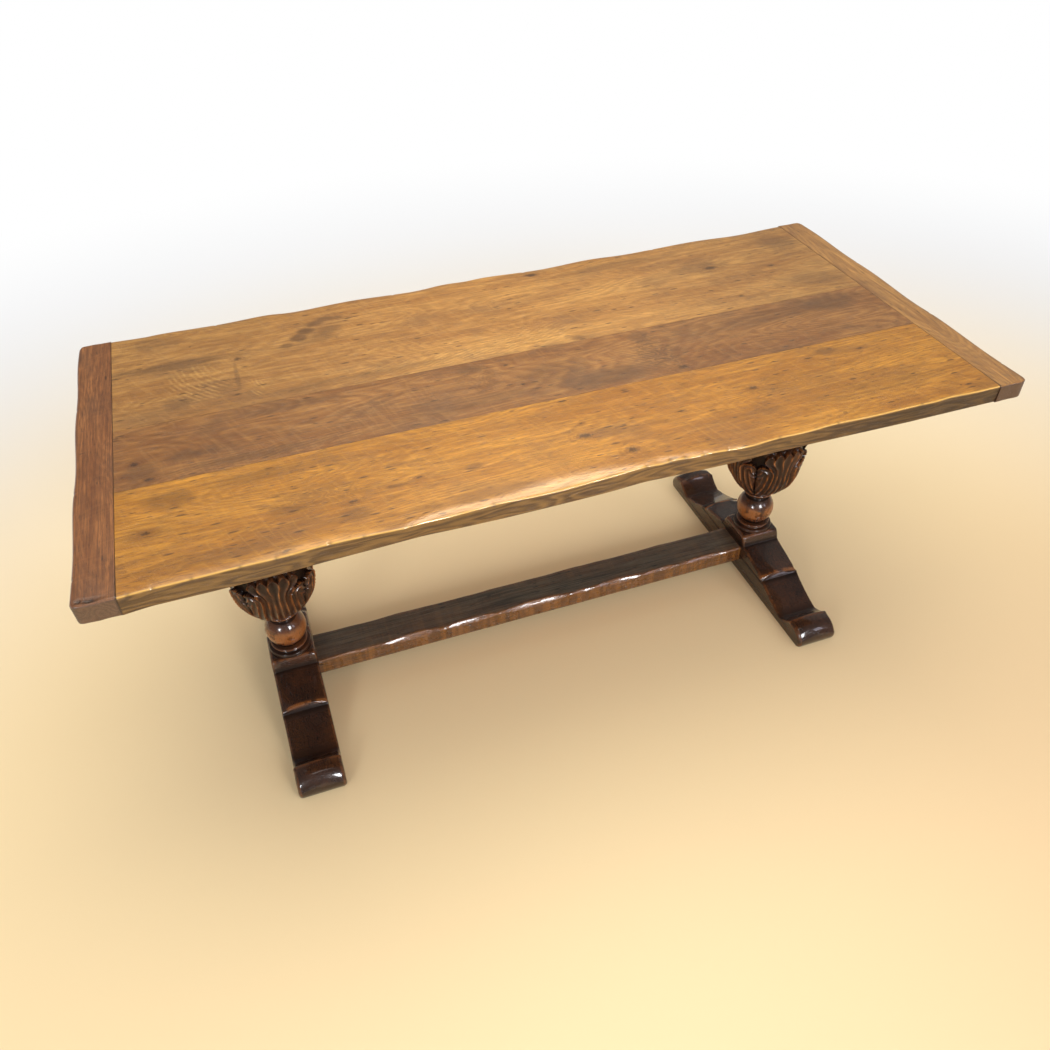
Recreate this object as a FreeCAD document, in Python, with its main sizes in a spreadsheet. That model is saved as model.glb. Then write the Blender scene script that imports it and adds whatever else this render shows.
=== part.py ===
import FreeCAD, Part
import Sketcher
import math
import os
import re

# Refectory table in oak: a three-board top with cleated ends, carried by two turned and
# leaf-carved cup pedestals on long trestle feet, which a low flat stretcher ties together.
# Millimetres, +Z up. The origin is on the floor, midway between the feet.

sizes = {
    # overall
    "topLength": 1830,
    "topWidth": 840,
    "tableHeight": 760,
    "topThickness": 40,
    # boards and cleats of the top
    "frontBoardWidth": 272,
    "middleBoardWidth": 195,
    "cleatWidth": 70,
    "cleatProud": 3,
    "cleatCornerRadius": 14,
    "planedDepth": 16,
    "planedSetBack": 5,
    "upperArris": 7,
    "lowerArris": 4,
    "tongueThickness": 13,
    "endTongueLength": 20,
    "seamTongueDepth": 10,
    "tongueInset": 35,
    # cross bearers under the top
    "bearerLength": 640,
    "bearerWidth": 100,
    "bearerThickness": 45,
    "bearerEndRun": 70,
    "bearerEndRise": 24,
    # screws that hold the bearers to the boards
    "screwEndInset": 90,
    "screwRadius": 3,
    "screwBite": 22,
    "screwHeadWidth": 13,
    "screwHeadHeight": 4,
    "counterboreRadius": 10,
    "counterboreDepth": 14,
    # turned pedestals, from the foot upwards
    "pedestalInset": 285,
    "footTenonRadius": 22,
    "footTenonLength": 40,
    "baseDiscRadius": 50,
    "baseDiscHeight": 9,
    "coveRadius": 40,
    "coveHeight": 5,
    "baseRingRadius": 43,
    "baseRingHeight": 7,
    "ballRadius": 48,
    "neckRadius": 27,
    "neckHeight": 12,
    "collarRadius": 39,
    "collarHeight": 9,
    "cupRadius": 92,
    "cupHeight": 177,
    "leafRelief": 7,
    "upperNeckRadius": 42,
    "upperRingRadius": 52,
    "capitalWidth": 96,
    "capitalChamfer": 8,
    "bearerTenonWidth": 50,
    "bearerTenonLength": 32,
    # trestle feet
    "footLength": 720,
    "footWidth": 107,
    "footBlockHeight": 120,
    "footBlockLength": 102,
    "footLipRadius": 3,
    # stretcher
    "stretcherWidth": 94,
    "stretcherThickness": 45,
    "stretcherTopHeight": 79,
    "stretcherArris": 5,
    "stretcherTenonWidth": 60,
    "stretcherTenonThickness": 25,
    "tenonWall": 7,
    "pegRadius": 5,
    "pegRecess": 2,
    "pegReach": 8,
    # fits
    "jointClearance": 0.3,
    "cutOverrun": 5,
}

# Hewn long edges of the top. Each break is (share of the edge's length from the left, how far it is
# set back from the outermost line as a share of the top's width), and each stretch between two
# breaks is hollowed by a share of its length.
frontEdgeShares = (
    (0, 0), (0.041, 0.007), (0.121, 0.0065), (0.198, 0.0095), (0.272, 0.005), (0.373, 0.0115),
    (0.473, 0.015), (0.577, 0.0145), (0.618, 0.0105), (0.663, 0.005), (0.698, 0.007),
    (0.772, 0.008), (0.877, 0.005), (0.932, 0.007), (1, 0.0025),
)
backEdgeShares = (
    (0, 0.0005), (0.041, 0.0035), (0.141, 0.0035), (0.198, 0), (0.24, 0.007), (0.317, 0),
    (0.402, 0.0075), (0.449, 0), (0.517, 0), (0.595, 0.0095), (0.673, 0.001), (0.737, 0.007),
    (0.844, 0.0025), (0.92, 0.0105), (1, 0.0025),
)
hewnHollowShare = 0.012
lowerSetBackShare = 0.6

# Hewn edges of the cleats and the stretcher: each stretch between two breaks is an arc, in and out
# by turns. The break places are shares of the edge's length, and the swell is a share of each
# stretch.
cleatWaveShares = (0, 0.14, 0.31, 0.44, 0.6, 0.75, 0.89, 1)
stretcherWaveShares = (0, 0.09, 0.2, 0.29, 0.4, 0.52, 0.61, 0.73, 0.82, 0.92, 1)
waveSwellShare = 0.018

# The swept run-out under each bearer's end passes through this share of its run and rise.
bearerSweepShares = (0.4, 0.36)

screwsPerBearer = 4

# Turned cover and neck between the cup's rim and the capital, as shares of the height left there.
ringBevelShare = 0.3
coverRadiusShare = 0.91
coverStepShares = ((1, 0.03), (0.93, 0.17), (0.75, 0.3))
coverTopShare = 0.4
upperRingBaseShare = 0.41
upperRingTopShare = 0.46
upperNeckShares = (0.55, 0.86)
neckTopShare = 0.66
capitalBaseShare = 0.7
capitalCoreShare = 0.72

# Foot outline from the block outwards: shares of half the foot's length and of the block's height.
blockBaseShares = (0.158, 0.767)
stageOneShares = (0.294, 0.675)
lipShares = (0.431, 0.605)
riserShares = (0.453, 0.5)
stageTwoShares = (0.589, 0.317)
valleyShares = (0.728, 0.178)
toeRiseShares = (0.789, 0.285)
toeBackShares = (0.839, 0.433)
toeRollShares = (0.994, 0.289)
toeFloorShares = (0.98, 0)

# Carved leaves round the cup: four tall ones with two straight flutes each stand square to the
# table, and four low ones with two round lobes each fill the diagonals. Each level is (share of the
# cup's height, the size its ground radius is a share of, that share), then the turn from a tall
# leaf's vein to the gap beside it, as a share of the turn to the next leaf's vein, and last what
# stands proud of the ground or lies below it, as shares of the relief: tall flute, tall vein, low
# lobe, low vein and gap. The low leaves end between two close levels.
cupLevelShares = (
    (0, "collarRadius", 0.84, 0.4, 0.35, -0.1, 0.45, -0.1, -0.35),
    (0.065, "cupRadius", 0.55, 0.4, 0.45, 0, 0.6, 0.05, -0.45),
    (0.16, "cupRadius", 0.72, 0.4, 0.55, 0, 0.8, 0.15, -0.55),
    (0.29, "cupRadius", 0.86, 0.4, 0.6, 0, 1, 0.25, -0.6),
    (0.51, "cupRadius", 0.97, 0.41, 0.7, 0.05, 1.1, 0.35, -0.6),
    (0.715, "cupRadius", 0.99, 0.44, 0.8, 0.1, 1.15, 0.4, -0.55),
    (0.745, "cupRadius", 0.99, 0.48, 0.8, 0.1, -0.3, -0.5, -0.55),
    (0.955, "cupRadius", 1, 0.56, 1, 0.4, -0.15, -0.4, -0.45),
    (1, "cupRadius", 0.98, 0.56, 0.7, 0.3, 0, -0.1, -0.2),
)
leafPairs = 4
fluteTurnShare = 0.5

doc = FreeCAD.newDocument("RefectoryTable")
sheet = doc.addObject("Spreadsheet::Sheet", "Sizes")
for row, (alias, number) in enumerate(sizes.items(), start=1):
    sheet.set(f"A{row}", alias)
    sheet.set(f"B{row}", str(number))
    sheet.setAlias(f"B{row}", alias)
doc.recompute()

subparts = []


def linked(text):
    """An expression with each size's name pointed at its cell."""
    def cell(match):
        word = match.group()
        return "Sizes." + word if word in sizes else word
    return re.sub(r"[A-Za-z]\w*", cell, text)


def amount(text):
    """The present value of an expression."""
    return float(sheet.evalExpression(linked(text)))


def bind(thing, prop, text):
    thing.setExpression(prop, linked(text))


def newBody(label):
    body = doc.addObject("PartDesign::Body", label)
    body.Label = label
    subparts.append(body)
    return body


def placeBody(body, across, up, turned=False):
    """Stands a body at its place along the table, turned half round if asked."""
    angle = 180 if turned else 0
    body.Placement = FreeCAD.Placement(
        FreeCAD.Vector(), FreeCAD.Rotation(FreeCAD.Vector(0, 0, 1), angle))
    bind(body, "Placement.Base.x", across)
    bind(body, "Placement.Base.z", up)


def originFeature(body, role):
    return next(item for item in body.Origin.OriginFeatures if item.Role == role)


def newSketch(body, name, plane, offset="0", turn=0):
    sketch = body.newObject("Sketcher::SketchObject", name)
    sketch.AttachmentSupport = [(originFeature(body, plane), "")]
    sketch.MapMode = "FlatFace"
    sketch.AttachmentOffset = FreeCAD.Placement(
        FreeCAD.Vector(), FreeCAD.Rotation(FreeCAD.Vector(0, 0, 1), turn))
    bind(sketch, "AttachmentOffset.Base.z", offset)
    return sketch


def pinPoint(sketch, geometry, end, across, up):
    """Holds one sketch point at a place given by two expressions."""
    for kind, text in (("DistanceX", across), ("DistanceY", up)):
        constraint = Sketcher.Constraint(kind, -1, 1, geometry, end, amount(text))
        index = sketch.addConstraint(constraint)
        bind(sketch, f"Constraints[{index}]", text)


def drawOutline(sketch, corners):
    """A closed outline. A corner is (across, up), and its stretch to the next corner is straight,
    or (across, up, viaAcross, viaUp), and the stretch is an arc through the via point."""
    places = [FreeCAD.Vector(amount(corner[0]), amount(corner[1]), 0) for corner in corners]
    count = len(corners)
    firstEnds = []
    lastEnds = []
    for number, corner in enumerate(corners):
        start = places[number]
        finish = places[(number + 1) % count]
        if len(corner) == 2:
            stretch = sketch.addGeometry(Part.LineSegment(start, finish), False)
        else:
            via = FreeCAD.Vector(amount(corner[2]), amount(corner[3]), 0)
            stretch = sketch.addGeometry(Part.Arc(start, via, finish), False)
        begins = sketch.getPoint(stretch, 1).distanceToPoint(start)
        swapped = begins > sketch.getPoint(stretch, 2).distanceToPoint(start)
        firstEnds.append((stretch, 2 if swapped else 1))
        lastEnds.append((stretch, 1 if swapped else 2))
        if len(corner) == 4:
            mark = sketch.addGeometry(Part.Point(via), True)
            sketch.addConstraint(Sketcher.Constraint("PointOnObject", mark, 1, stretch))
            pinPoint(sketch, mark, 1, corner[2], corner[3])
    for number, corner in enumerate(corners):
        joined = lastEnds[number - 1] + firstEnds[number]
        sketch.addConstraint(Sketcher.Constraint("Coincident", *joined))
        pinPoint(sketch, *firstEnds[number], corner[0], corner[1])


def drawRectangle(sketch, left, right, low, high):
    drawOutline(sketch, [(left, low), (right, low), (right, high), (left, high)])


def drawCircle(sketch, across, up, radius):
    centre = FreeCAD.Vector(amount(across), amount(up), 0)
    circle = sketch.addGeometry(Part.Circle(centre, FreeCAD.Vector(0, 0, 1), amount(radius)), False)
    pinPoint(sketch, circle, 3, across, up)
    size = sketch.addConstraint(Sketcher.Constraint("Radius", circle, amount(radius)))
    bind(sketch, f"Constraints[{size}]", radius)


def addPad(body, sketch, length, bothWays=False):
    pad = body.newObject("PartDesign::Pad", sketch.Name + "Pad")
    pad.Profile = sketch
    if bothWays:
        pad.SideType = "Symmetric"
    bind(pad, "Length", length)
    body.Tip = pad
    return pad


def addLoft(body, name, sketches):
    loft = body.newObject("PartDesign::AdditiveLoft", name)
    loft.Profile = sketches[0]
    loft.Sections = sketches[1:]
    loft.Ruled = True
    body.Tip = loft


def cutPocket(body, sketch, length, upward=True):
    """A pocket that must take material away."""
    doc.recompute()
    before = body.Shape.Volume
    pocket = body.newObject("PartDesign::Pocket", sketch.Name + "Pocket")
    pocket.Profile = sketch
    pocket.Reversed = upward
    bind(pocket, "Length", length)
    body.Tip = pocket
    doc.recompute()
    if pocket.Shape.Volume >= before:
        raise RuntimeError(pocket.Name + " cuts nothing")
    return pocket


def revolve(body, sketch):
    turned = body.newObject("PartDesign::Revolution", sketch.Name + "Turned")
    turned.Profile = sketch
    turned.ReferenceAxis = (sketch, ["V_Axis"])
    turned.Angle = 360
    body.Tip = turned
    return turned


def edgeNames(shape, wanted):
    return [f"Edge{number}" for number, edge in enumerate(shape.Edges, start=1) if wanted(edge)]


def roundEdges(body, name, radius, wanted):
    """A fillet on the tip's edges that the test wants."""
    doc.recompute()
    base = body.Tip
    fillet = body.newObject("PartDesign::Fillet", name)
    fillet.Base = (base, edgeNames(base.Shape, wanted))
    bind(fillet, "Radius", radius)
    body.Tip = fillet
    return fillet


def bevelEdges(body, name, width, wanted):
    doc.recompute()
    base = body.Tip
    chamfer = body.newObject("PartDesign::Chamfer", name)
    chamfer.Base = (base, edgeNames(base.Shape, wanted))
    bind(chamfer, "Size", width)
    body.Tip = chamfer
    return chamfer


def near(first, second):
    return math.isclose(first, second, abs_tol=Part.Precision.confusion() * 100)


def liesFlatAt(edge, height):
    return near(edge.BoundBox.ZMin, height) and near(edge.BoundBox.ZMax, height)


def polar(radius, degrees):
    """A place at a turn from the table's length, as two expressions."""
    angle = math.radians(degrees)
    return f"({radius} * {math.cos(angle):.9f})", f"({radius} * {math.sin(angle):.9f})"


def wave(start, finish, level, shares, outward, alongUp=False):
    """Corners of a hewn edge from start to finish at a level. The arcs swell and hollow by turns
    by the same share of their length, so that they meet smoothly."""
    corners = []
    for number in range(len(shares) - 1):
        here = f"(({start}) + (({finish}) - ({start})) * {shares[number]})"
        there = f"(({start}) + (({finish}) - ({start})) * {shares[number + 1]})"
        side = outward if number % 2 == 0 else -outward
        middle = f"({here} + {there}) / 2"
        swell = f"(({level}) + {side} * abs({there} - {here}) * {waveSwellShare})"
        if alongUp:
            corners.append((level, here, swell, middle))
        else:
            corners.append((here, level, middle, swell))
    return corners


def hewnEdge(start, finish, line, breaks, side, setBackShare, more):
    """Corners of a long hewn edge from start to finish, each with the hollow arc that leaves it, and
    the last corner. Each break is set back by a share of its table value and by some more."""
    places = []
    for along, setBack in breaks:
        places.append((f"({start} + ({finish} - {start}) * {along})",
                       f"({line} - {side} * (topWidth * {setBack} * {setBackShare} + {more}))"))
    corners = []
    for here, there in zip(places[:-1], places[1:]):
        hollow = f"abs({there[0]} - {here[0]}) * {hewnHollowShare}"
        corners.append((*here, f"(({here[0]} + {there[0]}) / 2)",
                        f"(({here[1]} + {there[1]}) / 2 - {side} * {hollow})"))
    return corners, places[-1]


def widestStretch(shares):
    """The longest outward stretch of a wave, as a share of its edge."""
    return max(shares[number + 1] - shares[number] for number in range(0, len(shares) - 1, 2))


# Places that several pieces share
boardHalf = "(topLength / 2 - cleatWidth)"
boardEdge = "(topWidth / 2 - cleatProud)"
frontSeam = "(frontBoardWidth - topWidth / 2 + cleatProud)"
backSeam = f"({frontSeam} + middleBoardWidth)"
tongueBase = "((topThickness - tongueThickness) / 2)"
topUnderside = "(tableHeight - topThickness)"
bearerUnderside = "(tableHeight - topThickness - bearerThickness)"
pedestalPlace = "(topLength / 2 - pedestalInset)"
stretcherTenonReach = "(footWidth / 2 - footTenonRadius - tenonWall)"
screwPitch = f"((bearerLength - 2 * screwEndInset) / {screwsPerBearer - 1})"
screwHole = "(screwRadius + jointClearance)"
mortiseBase = "(stretcherTopHeight - (stretcherThickness + stretcherTenonThickness) / 2 - jointClearance)"
pegAcross = f"({stretcherTenonReach} / 2 - footWidth / 2)"
pegTop = "(stretcherTopHeight - (stretcherThickness - stretcherTenonThickness) / 2 + pegReach)"


def screwAlong(number):
    """A screw's place along its bearer."""
    return f"(screwEndInset - bearerLength / 2 + {screwPitch} * {number})"


def makeBoard(label, seams, hewnSide, tongueEnds):
    """One board of the top between its two long edges, front then back. The hewn one, if any, is
    planed back above and rounded off below."""
    body = newBody(label)
    front, back = seams
    left = f"(-{boardHalf})"
    right = boardHalf
    levels = [("0", 0, "0")]
    if hewnSide:
        levels = [
            ("0", lowerSetBackShare, "lowerArris"),
            ("lowerArris", lowerSetBackShare, "0"),
            ("(topThickness - planedDepth)", lowerSetBackShare, "0"),
            ("topThickness", 1, "planedSetBack"),
        ]
    sketches = []
    for number, (height, setBackShare, more) in enumerate(levels):
        frontRun, frontEnd = [(left, front)], (right, front)
        backRun, backEnd = [(right, back)], (left, back)
        if hewnSide < 0:
            frontRun, frontEnd = hewnEdge(left, right, front, frontEdgeShares, -1, setBackShare, more)
        if hewnSide > 0:
            breaks = [(1 - along, setBack) for along, setBack in reversed(backEdgeShares)]
            backRun, backEnd = hewnEdge(right, left, back, breaks, 1, setBackShare, more)
        outline = newSketch(body, f"{label}Outline{number}", "XY_Plane", height)
        drawOutline(outline, [*frontRun, frontEnd, *backRun, backEnd])
        sketches.append(outline)
    if hewnSide:
        addLoft(body, label + "Plank", sketches)
    else:
        addPad(body, sketches[0], "topThickness")
    tongue = newSketch(body, label + "Tongue", "XY_Plane", tongueBase)
    reach = f"({boardHalf} + endTongueLength)"
    drawRectangle(tongue, f"(-{reach})", reach, *tongueEnds)
    addPad(body, tongue, "tongueThickness")
    placeBody(body, "0", topUnderside)
    return body


def makeTop():
    front = makeBoard("top_board_front", (f"(-{boardEdge})", frontSeam), -1,
                      (f"(tongueInset - {boardEdge})", frontSeam))
    middle = makeBoard("top_board_middle", (frontSeam, backSeam), 0,
                       (f"({frontSeam} - seamTongueDepth)", f"({backSeam} + seamTongueDepth)"))
    back = makeBoard("top_board_back", (backSeam, boardEdge), 1,
                     (backSeam, f"({boardEdge} - tongueInset)"))
    cutSeamGroove(front, frontSeam, -1)
    cutSeamGroove(back, backSeam, 1)
    for board in (front, middle, back):
        drillPilotHoles(board)


def cutSeamGroove(body, seam, side):
    """The groove along a board's seam edge that takes the middle board's tongue."""
    sketch = newSketch(body, body.Label + "Groove", "XY_Plane", f"({tongueBase} - jointClearance)")
    floor = f"({seam} + {side} * (seamTongueDepth + jointClearance))"
    mouth = f"({seam} - {side} * cutOverrun)"
    reach = f"({boardHalf} + endTongueLength + cutOverrun)"
    drawRectangle(sketch, f"(-{reach})", reach, mouth, floor)
    cutPocket(body, sketch, "(tongueThickness + 2 * jointClearance)")


def drillPilotHoles(board):
    """Pilot holes in a board's underside for the screws that reach it."""
    doc.recompute()
    box = board.Shape.BoundBox
    radius = amount(screwHole)
    for side, sideName in ((-1, "Left"), (1, "Right")):
        for number in range(screwsPerBearer):
            along = screwAlong(number)
            if not box.YMin - radius < amount(along) < box.YMax + radius:
                continue
            sketch = newSketch(board, f"{board.Label}Pilot{sideName}{number}", "XY_Plane")
            drawCircle(sketch, f"({side} * {pedestalPlace})", along, screwHole)
            cutPocket(board, sketch, "(screwBite + jointClearance)")


def makeCleat(label, turned):
    """A cleat across the boards' ends. It is drawn at the right-hand end."""
    body = newBody(label)
    outline = newSketch(body, label + "Outline", "XY_Plane")
    inner = boardHalf
    half = "(topWidth / 2)"
    ends = f"({half} - cleatCornerRadius)"
    outerMean = f"(topLength / 2 - topWidth * {widestStretch(cleatWaveShares) * waveSwellShare})"
    shoulder = f"({outerMean} - cleatCornerRadius)"
    bend = f"(cleatCornerRadius * (1 - {math.sqrt(0.5)}))"
    corners = [
        (inner, f"(-{half})"),
        (shoulder, f"(-{half})", f"({outerMean} - {bend})", f"({bend} - {half})"),
    ]
    corners += wave(f"(-{ends})", ends, outerMean, cleatWaveShares, 1, alongUp=True)
    corners += [
        (outerMean, ends, f"({outerMean} - {bend})", f"({half} - {bend})"),
        (shoulder, half),
        (inner, half),
    ]
    drawOutline(outline, corners)
    addPad(body, outline, "topThickness")
    groove = newSketch(body, label + "Groove", "XY_Plane", f"({tongueBase} - jointClearance)")
    grooveHalf = f"({boardEdge} - tongueInset + jointClearance)"
    drawRectangle(groove, f"({inner} - cutOverrun)", f"({inner} + endTongueLength + jointClearance)",
                  f"(-{grooveHalf})", grooveHalf)
    cutPocket(body, groove, "(tongueThickness + 2 * jointClearance)")
    innerPlace = amount(inner)

    def outerEdge(height):
        def wanted(edge):
            return liesFlatAt(edge, height) and not near(edge.BoundBox.XMax, innerPlace)
        return wanted
    bevelEdges(body, label + "UpperArris", "upperArris", outerEdge(amount("topThickness")))
    bevelEdges(body, label + "LowerArris", "lowerArris", outerEdge(0))
    placeBody(body, "0", topUnderside, turned)


def makeBearer(label, side):
    """A cross bearer with run-out ends, counterbored for its screws and mortised for the pedestal."""
    body = newBody(label)
    half = "(bearerLength / 2)"
    profile = newSketch(body, label + "Profile", "YZ_Plane")
    inner = f"({half} - bearerEndRun)"
    sweepRun = f"(bearerEndRun * {bearerSweepShares[0]})"
    sweepRise = f"(bearerEndRise * {bearerSweepShares[1]})"
    drawOutline(profile, [
        (f"(-{inner})", "0"),
        (inner, "0", f"({half} - {sweepRun})", sweepRise),
        (half, "bearerEndRise"),
        (half, "bearerThickness"),
        (f"(-{half})", "bearerThickness"),
        (f"(-{half})", "bearerEndRise", f"({sweepRun} - {half})", sweepRise),
    ])
    addPad(body, profile, "bearerWidth", bothWays=True)
    mortise = newSketch(body, label + "Mortise", "XY_Plane")
    wide = "(bearerTenonWidth / 2 + jointClearance)"
    drawRectangle(mortise, f"(-{wide})", wide, f"(-{wide})", wide)
    cutPocket(body, mortise, "(bearerTenonLength + jointClearance)")
    for number in range(screwsPerBearer):
        along = screwAlong(number)
        bore = newSketch(body, f"{label}Counterbore{number}", "XY_Plane")
        drawCircle(bore, "0", along, "counterboreRadius")
        cutPocket(body, bore, "counterboreDepth")
        hole = newSketch(body, f"{label}ScrewHole{number}", "XY_Plane")
        drawCircle(hole, "0", along, screwHole)
        cutPocket(body, hole, "(bearerThickness + cutOverrun)")
    placeBody(body, f"({side} * {pedestalPlace})", bearerUnderside)


def makeScrews(label, side):
    """The row of coach screws of one bearer, their six-sided heads up in the counterbores."""
    body = newBody(label)
    body.AllowCompound = True
    headBase = "(counterboreDepth - screwHeadHeight)"
    head = newSketch(body, label + "Head", "XY_Plane", headBase)
    corners = [polar(f"(screwHeadWidth / {math.sqrt(3)})", 60 * number) for number in range(6)]
    drawOutline(head, corners)
    heads = addPad(body, head, "screwHeadHeight")
    shank = newSketch(body, label + "Shank", "XY_Plane", headBase)
    drawCircle(shank, "0", "0", "screwRadius")
    shanks = addPad(body, shank, f"(bearerThickness + screwBite - {headBase})")
    pattern = body.newObject("PartDesign::LinearPattern", label + "Row")
    pattern.Originals = [heads, shanks]
    pattern.Direction = (originFeature(body, "Y_Axis"), [""])
    pattern.Occurrences = screwsPerBearer
    bind(pattern, "Length", f"({screwPitch} * {screwsPerBearer - 1})")
    body.Tip = pattern
    placeBody(body, f"({side} * {pedestalPlace})", bearerUnderside)
    bind(body, "Placement.Base.y", screwAlong(0))


# Heights up the pedestal, from the foot's block
ringBase = "(baseDiscHeight + coveHeight)"
ringTop = f"({ringBase} + baseRingHeight)"
ballSink = "sqrt(ballRadius ^ 2 - neckRadius ^ 2)"
ballCentre = f"({ringTop} + {ballSink})"
ballTop = f"({ballCentre} + {ballSink})"
collarBase = f"({ballTop} + neckHeight)"
cupBase = f"({collarBase} + collarHeight)"
cupRim = f"({cupBase} + cupHeight)"
pedestalTop = f"({bearerUnderside} - footBlockHeight)"


def upperHeight(share):
    """A height between the cup's rim and the bearer."""
    return f"({cupRim} + ({pedestalTop} - {cupRim}) * {share})"


def turnedRing(radius, base, top):
    """Corners of a turned ring whose upper and lower arrises are bevelled."""
    rim = f"(({top}) - ({base})) * {ringBevelShare}"
    return [
        (f"({radius} - {rim})", base),
        (radius, f"({base} + {rim})"),
        (radius, f"({top} - {rim})"),
        (f"({radius} - {rim})", top),
    ]


def makePedestal(label, side):
    """A turned pedestal: disc, ring, ball, leaf-carved cup, cover, neck and square capital."""
    body = newBody(label)
    profile = newSketch(body, label + "Profile", "XZ_Plane")
    coverRadius = f"(cupRadius * {coverRadiusShare})"
    coverSteps = [(f"({coverRadius} * {step})", upperHeight(up)) for step, up in coverStepShares]
    drawOutline(profile, [
        ("0", "(-footTenonLength)"),
        ("footTenonRadius", "(-footTenonLength)"),
        ("footTenonRadius", "0"),
        *turnedRing("baseDiscRadius", "0", "baseDiscHeight"),
        ("coveRadius", "baseDiscHeight"),
        ("coveRadius", ringBase),
        *turnedRing("baseRingRadius", ringBase, ringTop),
        ("neckRadius", ringTop, "ballRadius", ballCentre),
        ("neckRadius", ballTop),
        ("neckRadius", collarBase),
        *turnedRing("collarRadius", collarBase, cupBase),
        ("neckRadius", cupBase),
        ("neckRadius", cupRim),
        (coverRadius, cupRim),
        *coverSteps,
        ("upperNeckRadius", upperHeight(coverTopShare)),
        ("upperNeckRadius", upperHeight(upperRingBaseShare)),
        *turnedRing("upperRingRadius", upperHeight(upperRingBaseShare), upperHeight(upperRingTopShare)),
        ("upperNeckRadius", upperHeight(upperRingTopShare)),
        (f"(upperNeckRadius * {upperNeckShares[1]})", upperHeight(upperNeckShares[0])),
        ("upperNeckRadius", upperHeight(neckTopShare)),
        ("(capitalWidth / 2)", upperHeight(capitalBaseShare)),
        ("(capitalWidth / 2)", upperHeight(capitalCoreShare)),
        ("0", upperHeight(capitalCoreShare)),
    ])
    revolve(body, profile)
    capital = newSketch(body, label + "Capital", "XY_Plane", upperHeight(capitalBaseShare))
    wide = "(capitalWidth / 2)"
    drawRectangle(capital, f"(-{wide})", wide, f"(-{wide})", wide)
    addPad(body, capital, f"({pedestalTop} - {upperHeight(capitalBaseShare)})")
    capitalCorner = amount("capitalWidth") / 2

    def cornerEdge(edge):
        box = edge.BoundBox
        across = (box.XMin, box.XMax, box.YMin, box.YMax)
        return box.ZLength > 0 and all(near(abs(place), capitalCorner) for place in across)
    bevelEdges(body, label + "Corners", "capitalChamfer", cornerEdge)
    tenon = newSketch(body, label + "Tenon", "XY_Plane", pedestalTop)
    wide = "(bearerTenonWidth / 2)"
    drawRectangle(tenon, f"(-{wide})", wide, f"(-{wide})", wide)
    addPad(body, tenon, "bearerTenonLength")
    addCarvedCup(body)
    placeBody(body, f"({side} * {pedestalPlace})", "footBlockHeight", side < 0)


def addCarvedCup(body):
    """The cup, lofted through levels whose lobes, flutes and veins draw the two tiers of leaves."""
    pitch = 180 / leafPairs
    sketches = []
    for number, level in enumerate(cupLevelShares):
        upShare, base, radiusShare, gapTurn, tallLobe, tallVein, lowLobe, lowVein, gap = level

        def reach(proudShare):
            return f"({base} * {radiusShare} + leafRelief * {proudShare})"
        fluteTurn = gapTurn * fluteTurnShare
        turns = (
            (0, tallVein),
            (fluteTurn, tallLobe),
            (gapTurn, gap, (1 + gapTurn) / 2, lowLobe),
            (1, lowVein, (3 - gapTurn) / 2, lowLobe),
            (2 - gapTurn, gap),
            (2 - fluteTurn, tallLobe),
        )
        corners = []
        for pair in range(leafPairs):
            for turn, proud, *lobe in turns:
                corner = polar(reach(proud), (2 * pair + turn) * pitch)
                if lobe:
                    corner += polar(reach(lobe[1]), (2 * pair + lobe[0]) * pitch)
                corners.append(corner)
        sketch = newSketch(body, f"{body.Label}Level{number}", "XY_Plane",
                           f"({cupBase} + cupHeight * {upShare})")
        drawOutline(sketch, corners)
        sketches.append(sketch)
    addLoft(body, body.Label + "Cup", sketches)


def footPoint(shares):
    """A place on the foot's outline, in half lengths and block heights."""
    return f"(footLength / 2 * {shares[0]})", f"(footBlockHeight * {shares[1]})"


def mirrored(text):
    return f"(-{text})"


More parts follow.
